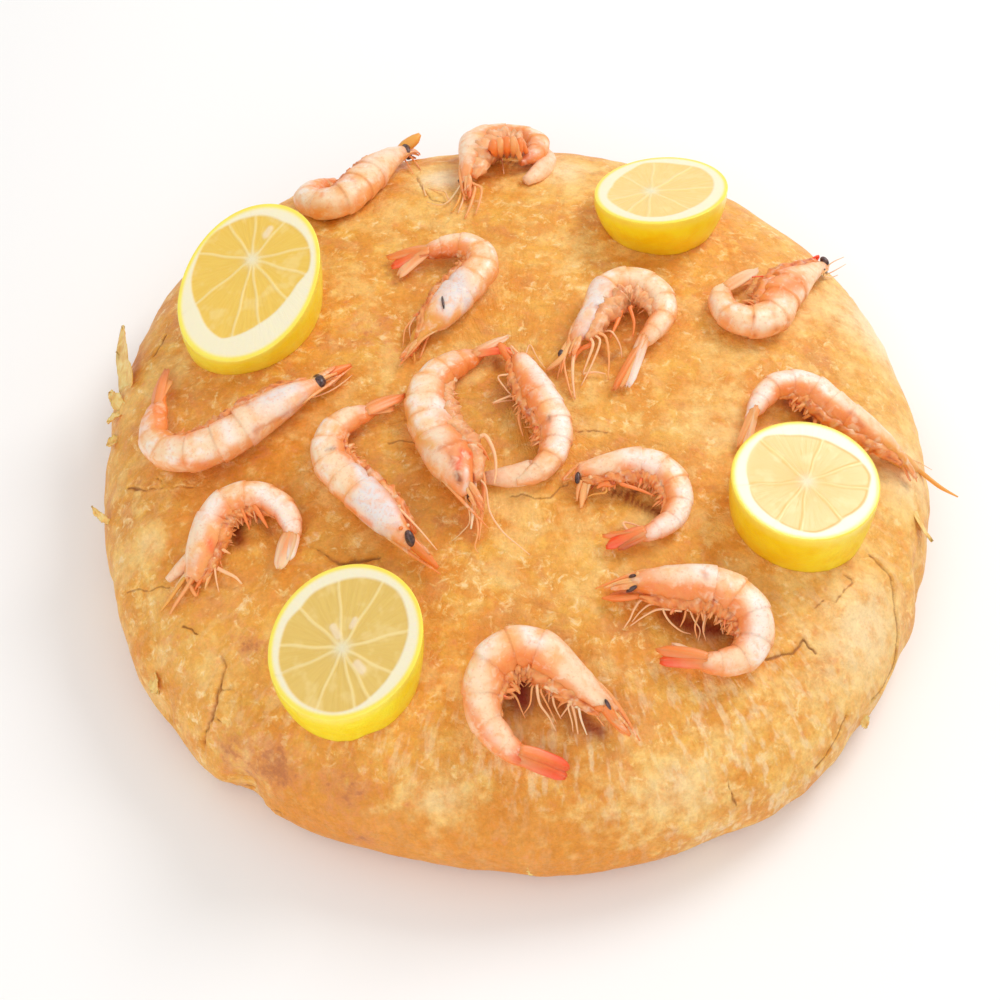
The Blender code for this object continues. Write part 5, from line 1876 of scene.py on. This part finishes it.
def makeLemonMaterial(number, c):
    material, tree, shader = newMaterial(f"lemon{number + 1}", 0.3)
    spot = objectSpot(tree)
    flesh = attributeOut(tree, "flesh")
    grain = attributeOut(tree, "grain", "Vector")
    rind = attributeOut(tree, "rind")
    seed = attributeOut(tree, "seed")
    sacs = noiseOut(tree, grain, 0.6, 4.0, 0.6)
    cloud = noiseOut(tree, spot, 6 * mm, 2.0, 0.5)
    pulp = mixOut(tree, rangeOut(tree, sacs, 0.3, 0.7, 0, 0.7), c["flesh"][number], c["deep"][number])
    pulp = mixOut(tree, rangeOut(tree, cloud, 0.5, 0.7, 0, 0.35), pulp, c["wall"])
    pulp = mixOut(tree, rangeOut(tree, attributeOut(tree, "gap"), 0.05, 0.9, 0.75, 0.0), pulp, c["wall"])
    pulp = mixOut(tree, mathOut(tree, "MULTIPLY", attributeOut(tree, "core"), 0.8), pulp, c["pith"])
    face = mixOut(tree, rangeOut(tree, flesh, -0.5, 0.8), c["pith"], pulp)
    face = mixOut(tree, rangeOut(tree, seed, 0.2, 0.9, 0, 0.6), face, rgba(252, 232, 204))
    zest = noiseOut(tree, spot, 9 * mm, 2.0)
    skin = mixOut(tree, rangeOut(tree, zest, 0.3, 0.7), c["rind"][number], c["rindLow"][number])
    skin = mixOut(tree, rangeOut(tree, rind, 1.0, 1.25, 0.5, 0.0), skin, c["zest"])
    colour = mixOut(tree, rangeOut(tree, rind, 0.0, 1.0), face, skin)
    pores = noiseOut(tree, spot, 1.1 * mm, 1.0)
    height = mixOut(tree, rangeOut(tree, rind, 0.5, 1.0), addGrey(tree, sacs), addGrey(tree, pores))
    surface = {
        "Base Color": colour,
        "Normal": bumpOut(tree, height, 0.15 * mm),
        "Subsurface Weight": 0.25,
        "Subsurface Radius": (1.0, 0.8, 0.35),
        "Subsurface Scale": 2.5 * mm,
        "Coat Weight": 0.1,
    }
    setInputs(tree, shader, surface)
    return material


stageSettings = {
    "floor": rgba(250, 248, 246),
    "floorGrain": rgba(232, 231, 229),
    "floorSize": 9.0,
    "world": (1.0, 1.0, 1.0, 1),
    "worldStrength": 0.72,
    # Place, size and power of the soft lamps
    "lamps": (((0.6, 0.55, 0.85), 0.5, 5.5), ((-0.35, -1.1, 0.75), 1.2, 4.8)),
}


def makeStage(s):
    mesh = bpy.data.meshes.new("floor")
    half = s["floorSize"]
    z = -0.2 * mm
    corners = [(-half, -half, z), (half, -half, z), (half, half, z), (-half, half, z)]
    mesh.from_pydata(corners, [], [(0, 1, 2, 3)])
    floor = addObject("floor", mesh)
    material, tree, shader = newMaterial("paleFloor", 0.7)
    grain = noiseOut(tree, objectSpot(tree), 0.2, 2.0)
    colour = mixOut(tree, rangeOut(tree, grain, 0.3, 0.7, 0, 0.03), s["floor"], s["floorGrain"])
    setInputs(tree, shader, {"Base Color": colour})
    mesh.materials.append(material)
    world = bpy.data.worlds.new("softLight")
    world.use_nodes = True
    sky = world.node_tree.nodes["Background"]
    setInputs(world.node_tree, sky, {"Color": s["world"], "Strength": s["worldStrength"]})
    scene.world = world
    for place, size, power in s["lamps"]:
        data = bpy.data.lights.new("lamp", "AREA")
        data.shape = "DISK"
        data.size, data.energy = size, power
        lamp = addObject("lamp", data)
        lamp.location = place
        lamp.rotation_euler = (-Vector(place)).to_track_quat("-Z", "Y").to_euler()
    scene.view_settings.view_transform = "Standard"


makeStage(stageSettings)
print("stage: camera, floor and light are set")

crust = makeCrust(crustSettings)
crust.data.materials.append(makeCrustMaterial(crustColours))
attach(crust, "root")
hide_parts("pastilla")
crustTree = treeOf(crust)
print("crust:", len(crust.data.vertices), "points")

flakes = makeFlakes(flakeSettings)
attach(flakes, "root")
print("loose flakes:", len(flakeSettings["flakes"]))

for index, shrimp in enumerate(makeShrimps(), 1):
    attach(shrimp, "root")
    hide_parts(f"shrimp_{index:02d}")
print("shrimps: laid")

for index in range(4):
    lemon = makeLemon(index, crustTree, lemonSettings)
    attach(lemon, "root")
    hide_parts(f"lemon_slice_{index + 1}")
print("lemon: four slices laid")
